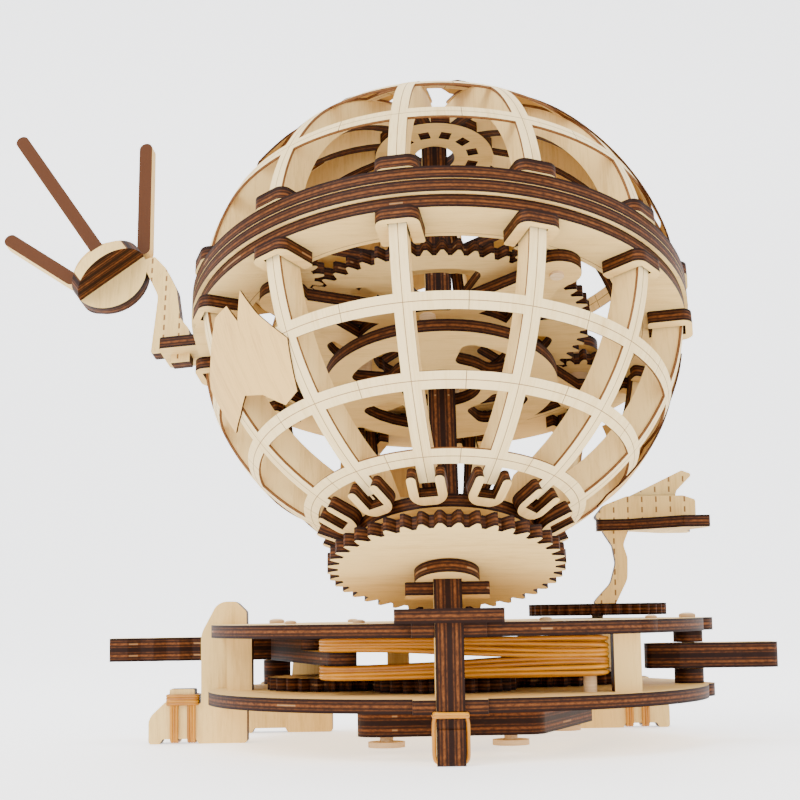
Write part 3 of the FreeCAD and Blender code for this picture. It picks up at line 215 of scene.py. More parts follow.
class Canvas:
    """A node tree being painted, with one method that makes every node."""

    def __init__(self, name: str) -> None:
        """Starts an empty material with a Principled shader."""
        self.material = bpy.data.materials.new(name)
        self.material.use_nodes = True
        self.tree = self.material.node_tree
        self.tree.nodes.clear()
        self.shader = self.node("ShaderNodeBsdfPrincipled", ())
        output = self.node("ShaderNodeOutputMaterial", ())
        self.tree.links.new(self.shader.outputs[0], output.inputs[0])
        place = self.node("ShaderNodeTexCoord", ())
        self.place = place.outputs["Object"]
        self.normal = place.outputs["Normal"]

    def node(self, kind: str, inputs, **settings):
        """Makes a node, sets its properties and feeds its inputs.

        Args:
            kind: Blender's name of the node type.
            inputs: Values for the inputs, in order or by name. None leaves an input alone.
            **settings: Properties of the node.

        Returns:
            The node.
        """
        node = self.tree.nodes.new(kind)
        for key, value in settings.items():
            setattr(node, key, value)
        pairs = inputs.items() if isinstance(inputs, dict) else enumerate(inputs)
        for key, value in pairs:
            if isinstance(value, Flow):
                self.tree.links.new(value.socket, node.inputs[key])
            elif isinstance(value, bpy.types.NodeSocket):
                self.tree.links.new(value, node.inputs[key])
            elif value is not None:
                node.inputs[key].default_value = value
        return node

    def along(self, vector, direction, origin=(0.0, 0.0, 0.0)) -> Flow:
        """Component of a vector along a fixed direction, measured from an origin."""
        dot = self.node("ShaderNodeVectorMath", (vector, direction), operation="DOT_PRODUCT")
        shift = sum(a * b for a, b in zip(origin, direction))
        return Flow(self, dot.outputs["Value"]) - shift

    def bundle(self, x, y, z):
        """Vector socket of three components."""
        return self.node("ShaderNodeCombineXYZ", (x, y, z)).outputs[0]

    def noise(self, vector, scale: float, detail: float = 3.0, rough: float = 0.5) -> Flow:
        """Fractal noise from zero to one."""
        inputs = {"Vector": vector, "Scale": scale, "Detail": detail, "Roughness": rough}
        node = self.node("ShaderNodeTexNoise", inputs)
        return Flow(self, node.outputs["Fac"])

    def blend(self, factor: Flow, low, high):
        """Colour between two colours by a factor clamped to zero and one."""
        node = self.node("ShaderNodeMix", {"Factor": factor}, data_type="RGBA", clamp_factor=True)
        for index, value in ((6, low), (7, high)):
            if isinstance(value, tuple):
                node.inputs[index].default_value = (*value, 1.0)
            else:
                self.tree.links.new(value, node.inputs[index])
        return node.outputs[2]

    def relief(self, height: Flow, strength: float, distance: float) -> None:
        """Feeds a height to the shader's normal."""
        node = self.node("ShaderNodeBump", {"Strength": strength, "Distance": distance, "Height": height})
        self.tree.links.new(node.outputs[0], self.shader.inputs["Normal"])


@dataclass
class SheetSpace:
    """Coordinates of a sheet: along its grain, across it, and through it.

    Attributes:
        along: Coordinate along the grain.
        across: Coordinate across the grain.
        depth: Coordinate through the sheet, zero at its lower face.
        facing: One where the surface faces out of the sheet, zero on the cut edge.
        extra: Further coordinates that the engravings use.
    """

    along: Flow
    across: Flow
    depth: Flow
    facing: Flow
    extra: dict = field(default_factory=dict)


class PlywoodPainter:
    """Paints a Plywood finish for sheets that lie one way."""

    def __init__(self, finish: Plywood, low: float) -> None:
        """Starts the material.

        Args:
            finish: The finish to paint.
            low: Position of the sheet's lower face along its own normal.
        """
        self.finish = finish
        self.low = low
        self.canvas = Canvas(finish.name)

    def fixed_space(self, normal, first, second, origin=(0.0, 0.0, 0.0)) -> SheetSpace:
        """Space of flat sheets that all lie square to one direction."""
        canvas, finish = self.canvas, self.finish
        u = canvas.along(canvas.place, first, origin)
        v = canvas.along(canvas.place, second, origin)
        w = canvas.along(canvas.place, normal, origin) - self.low
        depth = (w / finish.thickness).math("FRACT") * finish.thickness
        facing = abs(canvas.along(canvas.normal, normal)).above(0.7)
        co, si = math.cos(finish.turn), math.sin(finish.turn)
        return SheetSpace(u * co + v * si, v * co - u * si, depth, facing, {"u": u, "v": v})

    def globe_space(self) -> dict:
        """Coordinates of the globe: x, y and z of its own frame, radius from its axis and azimuth."""
        canvas = self.canvas
        x = canvas.along(canvas.place, (1.0, 0.0, 0.0), CENTRE)
        y = canvas.along(canvas.place, FRONTWARD, CENTRE)
        z = canvas.along(canvas.place, AXIS, CENTRE)
        reach = (x * x + y * y).math("SQRT")
        azimuth = x.math("ARCTAN2", y * -1.0)
        turned = (azimuth - FIRST_RIB + RIB_STEP / 2) / RIB_STEP
        local = (turned.math("FRACT") - 0.5) * RIB_STEP
        return {"x": x, "y": y, "z": z, "reach": reach, "azimuth": azimuth, "local": local}

    def rib_space(self) -> SheetSpace:
        """Space of the ribs, which lie in planes through the axis, one every thirty degrees."""
        canvas = self.canvas
        globe = self.globe_space()
        depth = globe["reach"] * globe["local"].math("SINE") + SHEET / 2
        nx = canvas.along(canvas.normal, (1.0, 0.0, 0.0))
        ny = canvas.along(canvas.normal, FRONTWARD)
        across = (nx * globe["y"] - ny * globe["x"]) / globe["reach"]
        return SheetSpace(globe["z"], globe["reach"], depth, abs(across).above(0.8), globe)

    def shell_space(self) -> SheetSpace:
        """Space of thin sheets bent over the globe: depth is measured outwards."""
        canvas = self.canvas
        globe = self.globe_space()
        radius = (globe["reach"] * globe["reach"] + globe["z"] * globe["z"]).math("SQRT")
        outward = canvas.along(canvas.normal, (1.0, 0.0, 0.0)) * globe["x"]
        outward = outward + canvas.along(canvas.normal, FRONTWARD) * globe["y"]
        outward = (outward + canvas.along(canvas.normal, AXIS) * globe["z"]) / radius
        globe["latitude"] = globe["z"].math("ARCTAN2", globe["reach"])
        facing = abs(outward).above(0.7)
        return SheetSpace(globe["z"], globe["azimuth"] * SPHERE, radius - self.low, facing, globe)

    def space(self) -> SheetSpace:
        """Space that suits the finish's lay."""
        lay = self.finish.lay
        if lay is Lay.RIB:
            return self.rib_space()
        if lay is Lay.SHELL:
            return self.shell_space()
        if lay is Lay.LEAN:
            return self.fixed_space(AXIS, (1.0, 0.0, 0.0), FRONTWARD, CENTRE)
        if lay is Lay.SIDE:
            return self.fixed_space((1.0, 0.0, 0.0), (0.0, 0.0, 1.0), (0.0, 1.0, 0.0))
        if lay is Lay.FRONT:
            return self.fixed_space((0.0, 1.0, 0.0), (0.0, 0.0, 1.0), (1.0, 0.0, 0.0))
        if lay in (Lay.SATELLITE, Lay.ROD):
            outward, sideways = satellite_directions()
            space = self.fixed_space(sideways, AXIS, outward, CENTRE)
            if lay is Lay.ROD:
                space.facing = space.facing * -1.0 + 1.0
            return space
        return self.fixed_space((0.0, 0.0, 1.0), (1.0, 0.0, 0.0), (0.0, 1.0, 0.0))

    def engraving(self, space: SheetSpace) -> Flow:
        """One where the laser has drawn a line on the face, else zero."""
        mark, extra = self.finish.mark, space.extra
        if mark is Mark.LATTICE:
            line = abs(extra["local"] * extra["reach"]).below(0.11 * MM)
            seam = (abs(extra["local"]) * -1.0 + RIB_STEP / 2) * extra["reach"]
            line = line.most(seam.below(0.10 * MM))
            for row in (-58.3, -41.0, -24.6, 24.4, 46.3, 62.5):
                offset = abs(extra["latitude"] - math.radians(row)) * SPHERE
                line = line.most(offset.below(0.11 * MM))
            return line
        if mark is Mark.RINGS:
            reach = (extra["u"] * extra["u"] + extra["v"] * extra["v"]).math("SQRT")
            line = abs(reach - 27.0 * MM).below(0.10 * MM)
            return line.most(abs(reach - 61.5 * MM).below(0.10 * MM))
        if mark is Mark.SCRIBES:
            height = extra["u"]
            return abs(height - 26.5 * MM).below(0.15 * MM).most(abs(height - 5.0 * MM).below(0.15 * MM))
        if mark is Mark.DIAMONDS:
            cell_u = abs((extra["u"] / (7.0 * MM)).math("FRACT") - 0.5)
            cell_v = abs((extra["v"] / (5.0 * MM)).math("FRACT") - 0.5)
            return abs(cell_u + cell_v - 0.36).below(0.045)
        if mark is Mark.DASHES:
            row = abs((extra["v"] / (5.0 * MM)).math("FRACT") - 0.5).below(0.06)
            dash = (extra["u"] / (3.6 * MM)).math("FRACT").below(0.55)
            return row * dash
        return space.along * 0.0

    def paint(self) -> bpy.types.Material:
        """Builds the face grain, the burnt edge with its plies, the scorch and the relief.

        Returns:
            The finished material.
        """
        canvas, finish = self.canvas, self.finish
        space = self.space()
        seed = finish.seed
        grain = canvas.bundle(space.along * 0.09 + seed, space.across + seed * 0.3, space.depth * 0.5 + seed)
        fine = canvas.noise(grain, 1500.0, 3.0, 0.6)
        broad = canvas.noise(grain, 260.0, 2.0, 0.5)
        flat = canvas.bundle(space.along + seed, space.across, space.depth * 0.0)
        cloud = canvas.noise(flat, 38.0, 3.0, 0.5)
        stretched = canvas.bundle(space.along * 0.16 + seed, space.across, seed)
        pores = canvas.noise(stretched, 3200.0, 1.0, 0.5).above(0.70)
        streaks = (fine - 0.45) * 1.3 + (broad - 0.5) * 1.1 + (cloud - 0.5) * 0.7 + pores * 0.22
        face = canvas.blend(streaks, finish.pale, finish.streak)
        line = self.engraving(space)
        face = canvas.blend(line * 0.85, face, (0.13, 0.045, 0.018))
        part = space.depth / finish.thickness
        plies = part.bell(0.5, 0.10) + part.bell(0.24, 0.05) * 0.55 + part.bell(0.77, 0.05) * 0.5
        char = canvas.noise(canvas.bundle(space.along, space.across, space.depth * 2.0), 700.0, 3.0, 0.6)
        plies = plies * (char * 2.3 - 0.45)
        seam = (canvas.noise(canvas.bundle(space.along, space.across, seed), 90.0, 1.0, 0.5)).above(0.66)
        edge = canvas.blend(plies, finish.burnt, finish.ply)
        edge = canvas.blend(seam * part.bell(0.5, 0.06) * 0.55, edge, (0.44, 0.24, 0.10))
        colour = canvas.blend(space.facing, edge, face)
        canvas.tree.links.new(colour, canvas.shader.inputs["Base Color"])
        rough = space.facing * 0.06 + (fine * 0.14 + 0.52)
        canvas.tree.links.new(rough.socket, canvas.shader.inputs["Roughness"])
        canvas.shader.inputs["Specular IOR Level"].default_value = 0.12
        height = fine * 0.6 + broad * 0.3 - line * 1.4 + plies * 0.5
        canvas.relief(height, 0.35, 0.0002)
        return canvas.material


def satellite_directions() -> tuple:
    """Outward and sideways unit directions of the plane that holds the satellite's arm."""
    turn = math.radians(-100.0 - 90.0)
    outward = tuple(math.cos(turn) * a + math.sin(turn) * b for a, b in zip((1.0, 0.0, 0.0), FRONTWARD))
    sideways = tuple(-math.sin(turn) * a + math.cos(turn) * b for a, b in zip((1.0, 0.0, 0.0), FRONTWARD))
    return outward, sideways


def paint_latex(finish: Latex) -> bpy.types.Material:
    """Amber rubber: each strand takes its own tone, mottled by noise, with a fine bumpy relief.

    Args:
        finish: The finish to paint.

    Returns:
        The finished material.
    """
    canvas = Canvas(finish.name)
    cloud = canvas.noise(canvas.place, 160.0, 3.0, 0.6)
    fine = canvas.noise(canvas.place, 1400.0, 2.0, 0.5)
    strand = Flow(canvas, canvas.node("ShaderNodeAttribute", (), attribute_name="strand").outputs["Fac"])
    tone = cloud * 0.55 + fine * 0.25 + strand * 0.55 - 0.15
    colour = canvas.blend(tone, finish.light, finish.deep)
    canvas.tree.links.new(colour, canvas.shader.inputs["Base Color"])
    rough = fine * 0.25 + 0.26
    canvas.tree.links.new(rough.socket, canvas.shader.inputs["Roughness"])
    canvas.shader.inputs["Subsurface Weight"].default_value = 0.04
    canvas.shader.inputs["Subsurface Radius"].default_value = (0.003, 0.0012, 0.0003)
    canvas.shader.inputs["Subsurface Scale"].default_value = 1.0
    canvas.relief(fine * 0.5 + cloud, 0.3, 0.0002)
    return canvas.material


def low_face(node: str, lay: Lay) -> float:
    """Lowest position of a CAD node along its sheet normal.

    Args:
        node: Name of the node.
        lay: Which way its sheets lie.

    Returns:
        The position in metres, from the globe's centre for the sheets that belong to its frame.
    """
    mesh = bpy.data.objects[node].data
    points = np.empty(len(mesh.vertices) * 3, np.float32)
    mesh.vertices.foreach_get("co", points)
    points = points.reshape(-1, 3).astype(float)
    sideways = satellite_directions()[1]
    directions = {Lay.FLAT: (0.0, 0.0, 1.0), Lay.SIDE: (1.0, 0.0, 0.0), Lay.FRONT: (0.0, 1.0, 0.0),
                  Lay.LEAN: AXIS, Lay.SATELLITE: sideways, Lay.ROD: sideways}
    if lay is Lay.SHELL:
        return float(np.linalg.norm(points - np.array(CENTRE), axis=1).min())
    if lay is Lay.RIB:
        return 0.0
    origin = np.array(CENTRE) if lay in (Lay.LEAN, Lay.SATELLITE, Lay.ROD) else np.zeros(3)
    return float(((points - origin) @ np.array(directions[lay])).min())


def dress(node: str, finish: Plywood) -> None:
    """Gives a CAD node its own plywood material.

    Args:
        node: Name of the node.
        finish: The finish, whose name and seed are made the node's own.
    """
    seed = (sum(ord(letter) for letter in node) % 97) * 0.013
    own = Plywood(**{**finish.__dict__, "name": node + "_plywood", "seed": seed})
    material = PlywoodPainter(own, low_face(node, own.lay)).paint()
    target = bpy.data.objects[node]
    target.data.materials.clear()
    target.data.materials.append(material)
    LOG.info("%s takes %s, %s", node, material.name, own.lay.value)


def new_mesh(name: str, points: np.ndarray, faces: list, smooth: bool = True) -> bpy.types.Object:
    """Links a mesh object whose place is in its mesh.

    Args:
        name: Name of the object.
        points: Vertices, one row each.
        faces: Vertex indices of each face.
        smooth: Whether the faces are shaded smooth.

    Returns:
        The object.
    """
    mesh = bpy.data.meshes.new(name)
    mesh.from_pydata([tuple(p) for p in points], [], faces)
    mesh.polygons.foreach_set("use_smooth", [smooth] * len(mesh.polygons))
    mesh.update()
    item = bpy.data.objects.new(name, mesh)
    bpy.context.scene.collection.objects.link(item)
    LOG.info("%s: %d vertices, %d faces", name, len(points), len(faces))
    return item


def tube(path: np.ndarray, radius: float, sides: int = 8) -> tuple:
    """Closed tube along a closed path.

    The ring at each point lies in the plane of the path's normal and binormal, found from the tangent t and
    the axis k along which the path spreads least: n = k x t, b = t x n; vertex =
    p + radius (n cos a + b sin a).

    Args:
        path: Points of the closed path, one row each.
        radius: Radius of the tube.
        sides: Number of sides.

    Returns:
        Vertices and faces.
    """
    tangent = np.roll(path, -1, axis=0) - np.roll(path, 1, axis=0)
    tangent /= np.linalg.norm(tangent, axis=1)[:, None]
    spread = path.max(axis=0) - path.min(axis=0)
    steady = np.eye(3)[int(np.argmin(spread))]
    normal = np.cross(steady, tangent)
    normal /= np.linalg.norm(normal, axis=1)[:, None]
    binormal = np.cross(tangent, normal)
    angles = np.linspace(0.0, 2 * np.pi, sides, endpoint=False)
    rings = (path[:, None, :] + radius * (np.cos(angles)[None, :, None] * normal[:, None, :]
                                          + np.sin(angles)[None, :, None] * binormal[:, None, :]))
    count = len(path)
    faces = []
    for i in range(count):
        j = (i + 1) % count
        for k in range(sides):
            m = (k + 1) % sides
            faces.append((i * sides + k, j * sides + k, j * sides + m, i * sides + m))
    return rings.reshape(-1, 3), faces


def joined(parts: list) -> tuple:
    """Joins vertex and face lists and numbers each part.

    Args:
        parts: Pairs of vertices and faces.

    Returns:
        All vertices, all faces, and the part number of each vertex.
    """
    points, faces, numbers = [], [], []
    start = 0
    for index, (vertices, polygons) in enumerate(parts):
        points.append(vertices)
        faces.extend(tuple(v + start for v in polygon) for polygon in polygons)
        numbers.append(np.full(len(vertices), index))
        start += len(vertices)
    return np.concatenate(points), faces, np.concatenate(numbers)


def strands_object(name: str, parts: list, material) -> bpy.types.Object:
    """One object of many rubber strands, each with its own tone.

    Args:
        name: Name of the object.
        parts: Pairs of vertices and faces, one for each strand.
        material: The rubber material.

    Returns:
        The object.
    """
    points, faces, numbers = joined(parts)
    item = new_mesh(name, points, faces)
    tone = item.data.attributes.new("strand", "FLOAT", "POINT")
    tone.data.foreach_set("value", ((numbers * 0.618) % 1.0).astype(np.float32))
    item.data.materials.append(material)
    return item


@dataclass
class MotorBands:
    """The rubber motor: two bundles of bands between the winding arm's pin and the fixed hook pin.

    Attributes:
        rows: Strands side by side in a bundle.
        tiers: Strands one above the other in a bundle.
        radius: Radius of a strand.
        pin_radius: Radius of the winding arm's pin.
        hook_radius: Radius of the fixed hook pin.
        clearance: Gap between a pin and the innermost strand.
        row_pitch: Distance between rows.
    """

    rows: int = 3
    tiers: int = 4
    radius: float = 0.70 * MM
    pin_radius: float = 3.0 * MM
    hook_radius: float = 2.0 * MM
    clearance: float = 0.3 * MM
    row_pitch: float = 1.05 * MM

    def path(self, start, start_radius, end, end_radius, near, far, phase) -> np.ndarray:
        """Belt path round two circles, with a slight wander along its straight runs.

        The belt leaves each circle at the angle acos((r1 - r2) / d) from the line of centres. The height runs
        from near to far as the smooth step g = s^2 (3 - 2 s) of the share s of the way along, plus the wander
        0.35 mm (0.3 + 0.7 g) sin(2 pi u + phase) + 0.15 mm sin(6 pi u + 2 phase), u the share of the way
        round.

        Args:
            start: Centre of the first circle.
            start_radius: Radius of the first circle.
            end: Centre of the second circle.
            end_radius: Radius of the second circle.
            near: Height of the strand at the first circle.
            far: Height of the strand at the second circle.
            phase: Phase of the wander.

        Returns:
            Points of the path.
        """
        (ax, ay), (bx, by) = start, end
        heading = math.atan2(by - ay, bx - ax)
        span = math.hypot(bx - ax, by - ay)
        lean = math.acos((start_radius - end_radius) / span)
        first = np.linspace(heading + lean, heading + 2 * math.pi - lean, 22)
        second = np.linspace(heading - lean, heading + lean, 22)
        one = np.stack([ax + start_radius * np.cos(first), ay + start_radius * np.sin(first)], axis=1)
        two = np.stack([bx + end_radius * np.cos(second), by + end_radius * np.sin(second)], axis=1)
        share = np.linspace(0.0, 1.0, 34)[1:-1, None]
        there = one[-1] + (two[0] - one[-1]) * share
        back = two[-1] + (one[0] - two[-1]) * share
        plan = np.concatenate([one, there, two, back])
        turn = np.linspace(0.0, 2 * np.pi, len(plan), endpoint=False)
        step = np.clip((plan[:, 0] - ax) / (bx - ax), 0.0, 1.0)
        step = step * step * (3.0 - 2.0 * step)
        height = near + (far - near) * step + 0.35 * MM * np.sin(turn + phase) * (step * 0.7 + 0.3)
        height = height + 0.15 * MM * np.sin(3 * turn + 2 * phase)
        return np.concatenate([plan, height[:, None]], axis=1)

    def build(self) -> bpy.types.Object:
        """Builds the strands of both bundles: apart at the arm, close together at the hook."""
        low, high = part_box("motor_bands")
        pin_low, pin_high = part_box("band_pin")
        start = ((pin_low.x + pin_high.x) / 2, (pin_low.y + pin_high.y) / 2)
        hook = (high.x - 5.5 * MM, 26.0 * MM)
        middle = (low.z + high.z) / 2
        parts = []
        for bundle, side in enumerate((-1.0, 1.0)):
            near_edge = (high.z if side > 0 else low.z) - side * 0.5 * MM
            for tier in range(self.tiers):
                near = near_edge - side * 0.85 * MM * tier
                far = middle + side * (0.6 + 1.42 * (self.tiers - 1 - tier)) * MM
                for row in range(self.rows):
                    grow = self.radius + self.clearance + row * self.row_pitch
                    phase = 1.7 * row + tier + 2.0 * bundle
                    inner, outer = self.pin_radius + grow, self.hook_radius + grow
                    route = self.path(start, inner, hook, outer, near, far, phase)
                    parts.append(tube(route, self.radius))
        bands = strands_object("motor_band_strands", parts, paint_latex(Latex("motor_latex")))
        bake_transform(bands)
        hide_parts("motor_bands")
        return bands


@dataclass
class FootBands:
    """Rubber bands wound round the front leg and the toes of two feet, to keep them from sliding.

    Attributes:
        radius: Radius of a strand.
    """

    radius: float = 0.55 * MM

    def loop(self, axis: int, centre, half, offset: float, bow: float) -> np.ndarray:
        """Rounded rectangular loop square to one axis.

        Each point is centre + half * (|cos|^0.28 sign, |sin|^0.28 sign), a superellipse close to a
        rounded box.

        Args:
            axis: The axis the loop is square to.
            centre: Middle of the loop.
            half: Half sizes along the two other axes.
            offset: Position along the axis from the middle.
            bow: Sideways sway of the strand.

        Returns:
            Points of the loop.
        """
        turn = np.linspace(0.0, 2 * np.pi, 72, endpoint=False)
        first = half[0] * np.sign(np.cos(turn)) * np.abs(np.cos(turn)) ** 0.28
        second = half[1] * np.sign(np.sin(turn)) * np.abs(np.sin(turn)) ** 0.28
        path = np.zeros((len(turn), 3))
        others = [k for k in range(3) if k != axis]
        path[:, others[0]] = centre[others[0]] + first
        path[:, others[1]] = centre[others[1]] + second
        path[:, axis] = centre[axis] + offset + bow * np.sin(turn * 2.0)
        return path

    def winding(self, axis: int, centre, half, width: float) -> list:
        """Strands of one winding, side by side along its axis.

        Args:
            axis: The axis the winding is square to.
            centre: Middle of the winding.
            half: Half sizes along the two other axes.
            width: Width that the strands fill.

        Returns:
            Tubes of the strands.
        """
        count = max(2, round(width / (0.95 * MM)))
        parts = []
        for index in range(count):
            share = (index + 0.5) / count - 0.5
            route = self.loop(axis, centre, half, share * width, 0.10 * MM * math.sin(index * 2.1))
            parts.append(tube(route, self.radius))
        return parts

    def build(self) -> bpy.types.Object:
        """Builds the windings of the front leg, the left foot and the right rear foot."""
        left_low, left_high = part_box("left_foot")
        rear_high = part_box("rear_feet")[1]
        left = (left_high.x, (left_low.y + left_high.y) / 2, -1.0)
        right_rear = (rear_high.x - 32.7 * MM, 138.0 * MM, 1.0)
        parts = []
        for x, y, way in (left, right_rear):
            for middle in (24.1 * MM, 18.4 * MM):
                centre = (x + way * middle, y, 7.3 * MM)
                parts += self.winding(0, centre, (4.75 * MM, 6.6 * MM), 2.6 * MM)
            centre = (x + way * 21.4 * MM, y, 14.4 * MM)
            parts += self.winding(2, centre, (5.1 * MM, 5.0 * MM), 3.4 * MM)
        parts += self.winding(1, (0.0, -4.4 * MM, 7.2 * MM), (4.75 * MM, 6.3 * MM), 4.4 * MM)
        parts += self.winding(2, (0.0, 0.0, 13.9 * MM), (4.75 * MM, 8.4 * MM), 1.4 * MM)
        bands = strands_object("foot_band_strands", parts, paint_latex(Latex("foot_latex")))
        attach(bands, "base")
        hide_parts("foot_bands")
        return bands


@dataclass(frozen=True)
class HeadSpot:
    """A turned pin head.

    Attributes:
        centre: Middle of its seat.
        up: Direction it points.
        radius: Radius of the head.
        body: CAD body it moves with.
    """

    centre: tuple
    up: tuple
    radius: float
    body: str


@dataclass
class PinHeads:
    """Small domed heads that cover the ends of the wooden pins.

    Attributes:
        segments: Sides of each head.
    """

    segments: int = 28

    def head(self, spot: HeadSpot) -> tuple:
        """Turned head: a profile r(k), z(k) with a chamfered foot and a domed crown, spun round its axis.

        Args:
            spot: Where and how large.

        Returns:
            Vertices and faces.
        """
        profile = np.array([(0.92, 0.0), (1.0, 0.10), (1.0, 0.30), (0.93, 0.42), (0.72, 0.52), (0.42, 0.58),
                            (0.15, 0.60)])
        profile = profile * spot.radius
        up = np.array(spot.up, float)
        side = np.cross(up, (1.0, 0.0, 0.0) if abs(up[0]) < 0.9 else (0.0, 1.0, 0.0))
        side /= np.linalg.norm(side)
        other = np.cross(up, side)
        angles = np.linspace(0.0, 2 * np.pi, self.segments, endpoint=False)
        circle = np.cos(angles)[:, None] * side + np.sin(angles)[:, None] * other
        rings = [np.array(spot.centre) + z * up + r * circle
                 for r, z in profile]
        count = self.segments
        faces = [tuple(reversed(range(count)))]
        for ring in range(len(profile) - 1):
            for k in range(count):
                m = (k + 1) % count
                near, far = ring * count, (ring + 1) * count
                faces.append((near + k, near + m, far + m, far + k))
        faces.append(tuple((len(profile) - 1) * count + k for k in range(count)))
        return np.concatenate(rings), faces

    def spots(self) -> list:
        """Places of all heads: at the frame's own hinges, and at six listed points on the top plate."""
        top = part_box("top_plate")[1].z
        found = []
        for joint in FRAME["joints"]:
            if joint["name"] in ("winding_swing", "lever_swing"):
                x, y, _ = joint["pos_m"]
                found.append(HeadSpot((x, y, top), (0.0, 0.0, 1.0), 2.7 * MM, "base"))
        for x, y in ((-26.0, 40.0), (30.0, 30.0), (-48.0, 60.0), (66.0, 60.0), (-30.0, 128.0), (20.0, 140.0)):
            found.append(HeadSpot((x * MM, y * MM, top), (0.0, 0.0, 1.0), 1.9 * MM, "base"))
        return found

    def build(self) -> list:
        """Builds one object of heads for each body."""
        made = []
        by_body = {}
        for spot in self.spots():
            by_body.setdefault(spot.body, []).append(self.head(spot))
        for body, parts in by_body.items():
            points, faces, _ = joined(parts)
            item = new_mesh("pin_heads_" + body, points, faces, smooth=False)
            finish = Plywood("pin_head_wood_" + body, Lay.FLAT, pale=(0.72, 0.52, 0.31),
                             burnt=(0.50, 0.33, 0.18), ply=(0.62, 0.44, 0.26))
            item.data.materials.append(PlywoodPainter(finish, 0.0).paint())
            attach(item, body)
            made.append(item)
        return made


@dataclass
class SheetGroup:
    """CAD sheets that share one finish.

    Attributes:
        finish: The finish of the sheets.
        nodes: Their names.
    """

    finish: Plywood
    nodes: tuple

    def dress_all(self) -> None:
        """Gives each sheet its own material."""
        for node in self.nodes:
            dress(node, self.finish)


DOWEL_TONES = {"pale": (0.76, 0.57, 0.35), "burnt": (0.55, 0.37, 0.20), "ply": (0.68, 0.49, 0.28)}
GROUPS = (
    SheetGroup(Plywood("level", Lay.FLAT), (
        "bottom_plate", "top_plate", "axis_bracket", "bearing_plates", "drive_wheel", "idler_wheel",
        "shuttle_wheel", "motor_wheel", "drive_pinion", "shuttle_disc", "winding_handle", "winding_arm",
        "start_lever", "lever_washers")),
    SheetGroup(Plywood("wing", Lay.FLAT, mark=Mark.DIAMONDS), ("shuttle_wing",)),
    SheetGroup(Plywood("side", Lay.SIDE, mark=Mark.SCRIBES), ("column_sheets",)),
    SheetGroup(Plywood("front", Lay.FRONT), ("left_foot", "rear_feet", "posts")),
    SheetGroup(Plywood("engraved", Lay.FRONT, mark=Mark.DASHES), (
        "shuttle_stand", "shuttle_body", "shuttle_fin")),
    SheetGroup(Plywood("lean", Lay.LEAN), (
        "globe_wheel", "crown_plate", "shaft_collar", "shaft_key", "polar_disc", "ring_clips", "frame_plates",
        "lower_frame_disc", "sun_wheel",
        "planet_wheel_1", "planet_wheel_2", "planet_wheel_3", "planet_wheel_4")),
    SheetGroup(Plywood("ring", Lay.LEAN, mark=Mark.RINGS), (
        "globe_ring_lower", "globe_ring_upper", "satellite_ring")),
    SheetGroup(Plywood("rib", Lay.RIB, pale=(0.77, 0.54, 0.22)), ("lower_ribs", "upper_ribs")),
    SheetGroup(Plywood("strip", Lay.SHELL, pale=(0.82, 0.62, 0.31), streak=(0.60, 0.39, 0.15),
                       thickness=0.8 * MM, burnt=(0.12, 0.045, 0.014), ply=(0.30, 0.14, 0.05),
                       mark=Mark.LATTICE),
               ("lower_lattice", "upper_lattice")),
    SheetGroup(Plywood("clip", Lay.SHELL, pale=(0.75, 0.51, 0.20)), ("crown_clips",)),
    SheetGroup(Plywood("land", Lay.SHELL, pale=(0.70, 0.44, 0.15), streak=(0.42, 0.22, 0.08),
                       thickness=0.6 * MM),
               ("land_australia", "land_americas", "land_africa", "land_eurasia")),
    SheetGroup(Plywood("satellite", Lay.SATELLITE, mark=Mark.DASHES), ("satellite_arm",)),
    SheetGroup(Plywood("satellite_sheets", Lay.SATELLITE), ("satellite_body",)),
    SheetGroup(Plywood("rods", Lay.ROD, burnt=(0.07, 0.022, 0.006)), ("satellite_antennas",)),
    SheetGroup(Plywood("dowel_level", Lay.FLAT, **DOWEL_TONES),
               ("base_pins", "band_pin", "drive_axle", "shuttle_axle", "bearing_caps")),
    SheetGroup(Plywood("dowel_lean", Lay.LEAN, **DOWEL_TONES),
               ("planet_pins", "globe_spacers")),
)


@dataclass(frozen=True)
class Lamp:
    """A soft studio light.

    Attributes:
        name: Name of the light.
        place: Where it hangs.
        target: What it points at.
        size: Side of the square panel.
        power: Power in watts.
        colour: Linear colour.
    """

    name: str
    place: tuple
    target: tuple
    size: float
    power: float
    colour: tuple = (1.0, 1.0, 1.0)


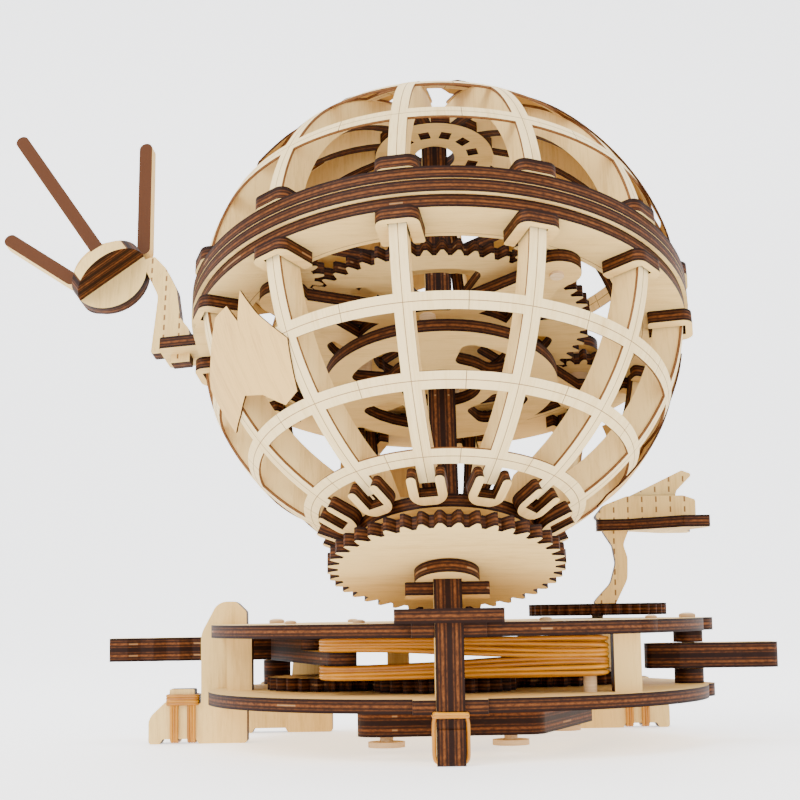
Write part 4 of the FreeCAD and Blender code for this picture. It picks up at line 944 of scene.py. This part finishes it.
class Studio:
    """Floor, backdrop, lights and camera."""

    LAMPS = (
        Lamp("key", (-0.75, -0.75, 0.95), (0.0, 0.05, 0.10), 0.9, 22.0, (1.0, 0.985, 0.96)),
        Lamp("fill", (0.95, -0.55, 0.55), (0.0, 0.05, 0.10), 1.0, 7.0, (0.96, 0.98, 1.0)),
        Lamp("under", (0.0, -0.9, 0.12), (0.0, 0.05, 0.12), 0.8, 4.0),
        Lamp("top", (0.1, 0.5, 1.2), (0.0, 0.05, 0.10), 1.0, 12.0),
    )

    def floor(self) -> bpy.types.Object:
        """Sweep of pale paper: level, then curved up as a quarter circle, and on upwards."""
        bend, radius = 0.9, 0.6
        profile = [(-1.6, 0.0), (bend, 0.0)]
        for step in range(1, 17):
            turn = math.pi / 2 * step / 16
            profile.append((bend + radius * math.sin(turn), radius * (1 - math.cos(turn))))
        profile.append((bend + radius, 2.4))
        points, faces = [], []
        for x in (-2.4, 2.4):
            points.extend((x, y, z) for y, z in profile)
        count = len(profile)
        for i in range(count - 1):
            faces.append((i, i + count, i + 1 + count, i + 1))
        item = new_mesh("paper_sweep", np.array(points), faces)
        canvas = Canvas("pale_paper")
        tone = canvas.noise(canvas.place, 3.0, 2.0, 0.5)
        colour = canvas.blend(tone * 0.3, (0.92, 0.92, 0.93), (0.88, 0.885, 0.90))
        canvas.tree.links.new(colour, canvas.shader.inputs["Base Color"])
        canvas.shader.inputs["Roughness"].default_value = 0.75
        canvas.shader.inputs["Emission Color"].default_value = (1.0, 1.0, 1.0, 1.0)
        canvas.shader.inputs["Emission Strength"].default_value = 1.1
        item.data.materials.append(canvas.material)
        return item

    def lamp(self, spec: Lamp) -> None:
        """Hangs one light."""
        data = bpy.data.lights.new(spec.name, "AREA")
        data.size = spec.size
        data.energy = spec.power
        data.color = spec.colour
        item = bpy.data.objects.new(spec.name, data)
        bpy.context.scene.collection.objects.link(item)
        item.location = spec.place
        aim = item.location.__class__(spec.target) - item.location
        item.rotation_euler = aim.to_track_quat("-Z", "Y").to_euler()

    def world(self) -> None:
        """Even pale surroundings."""
        world = bpy.data.worlds.new("studio")
        bpy.context.scene.world = world
        world.use_nodes = True
        sky = world.node_tree.nodes["Background"]
        sky.inputs["Color"].default_value = (0.94, 0.96, 1.0, 1.0)
        sky.inputs["Strength"].default_value = 1.3

    def camera(self) -> None:
        """Low view from the front, slightly upwards, with a slight roll."""
        yaw, pitch, roll = math.radians(0.28), math.radians(7.19), math.radians(-0.92)
        level_share = math.cos(pitch)
        forward = np.array([math.sin(yaw) * level_share, math.cos(yaw) * level_share, math.sin(pitch)])
        level = np.array([math.cos(yaw), -math.sin(yaw), 0.0])
        upright = np.cross(level, forward)
        right = level * math.cos(roll) + upright * math.sin(roll)
        up = upright * math.cos(roll) - level * math.sin(roll)
        data = bpy.data.cameras.new("view")
        data.sensor_width = 36.0
        data.lens = 75.6
        data.clip_start = 0.02
        data.clip_end = 20.0
        data.dof.use_dof = False
        item = bpy.data.objects.new("view", data)
        bpy.context.scene.collection.objects.link(item)
        place = (-0.01489, -0.47551, 0.04223)
        rows = [[right[k], up[k], -forward[k], place[k]] for k in range(3)]
        item.matrix_world = item.matrix_world.__class__([*rows, [0.0, 0.0, 0.0, 1.0]])
        bpy.context.scene.camera = item

    def build(self) -> None:
        """Sets up the whole studio."""
        self.floor()
        self.world()
        for spec in self.LAMPS:
            self.lamp(spec)
        self.camera()


FRAME: dict = {}


def main() -> None:
    """Loads the frame, dresses it, adds the modelled pieces and the studio, and notes the sizes."""
    logging.basicConfig(level=logging.INFO, format="%(name)s %(message)s")
    FRAME.update(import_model())
    for group in GROUPS:
        group.dress_all()
    MotorBands().build()
    FootBands().build()
    PinHeads().build()
    Studio().build()


if __name__ == "__main__":
    main()
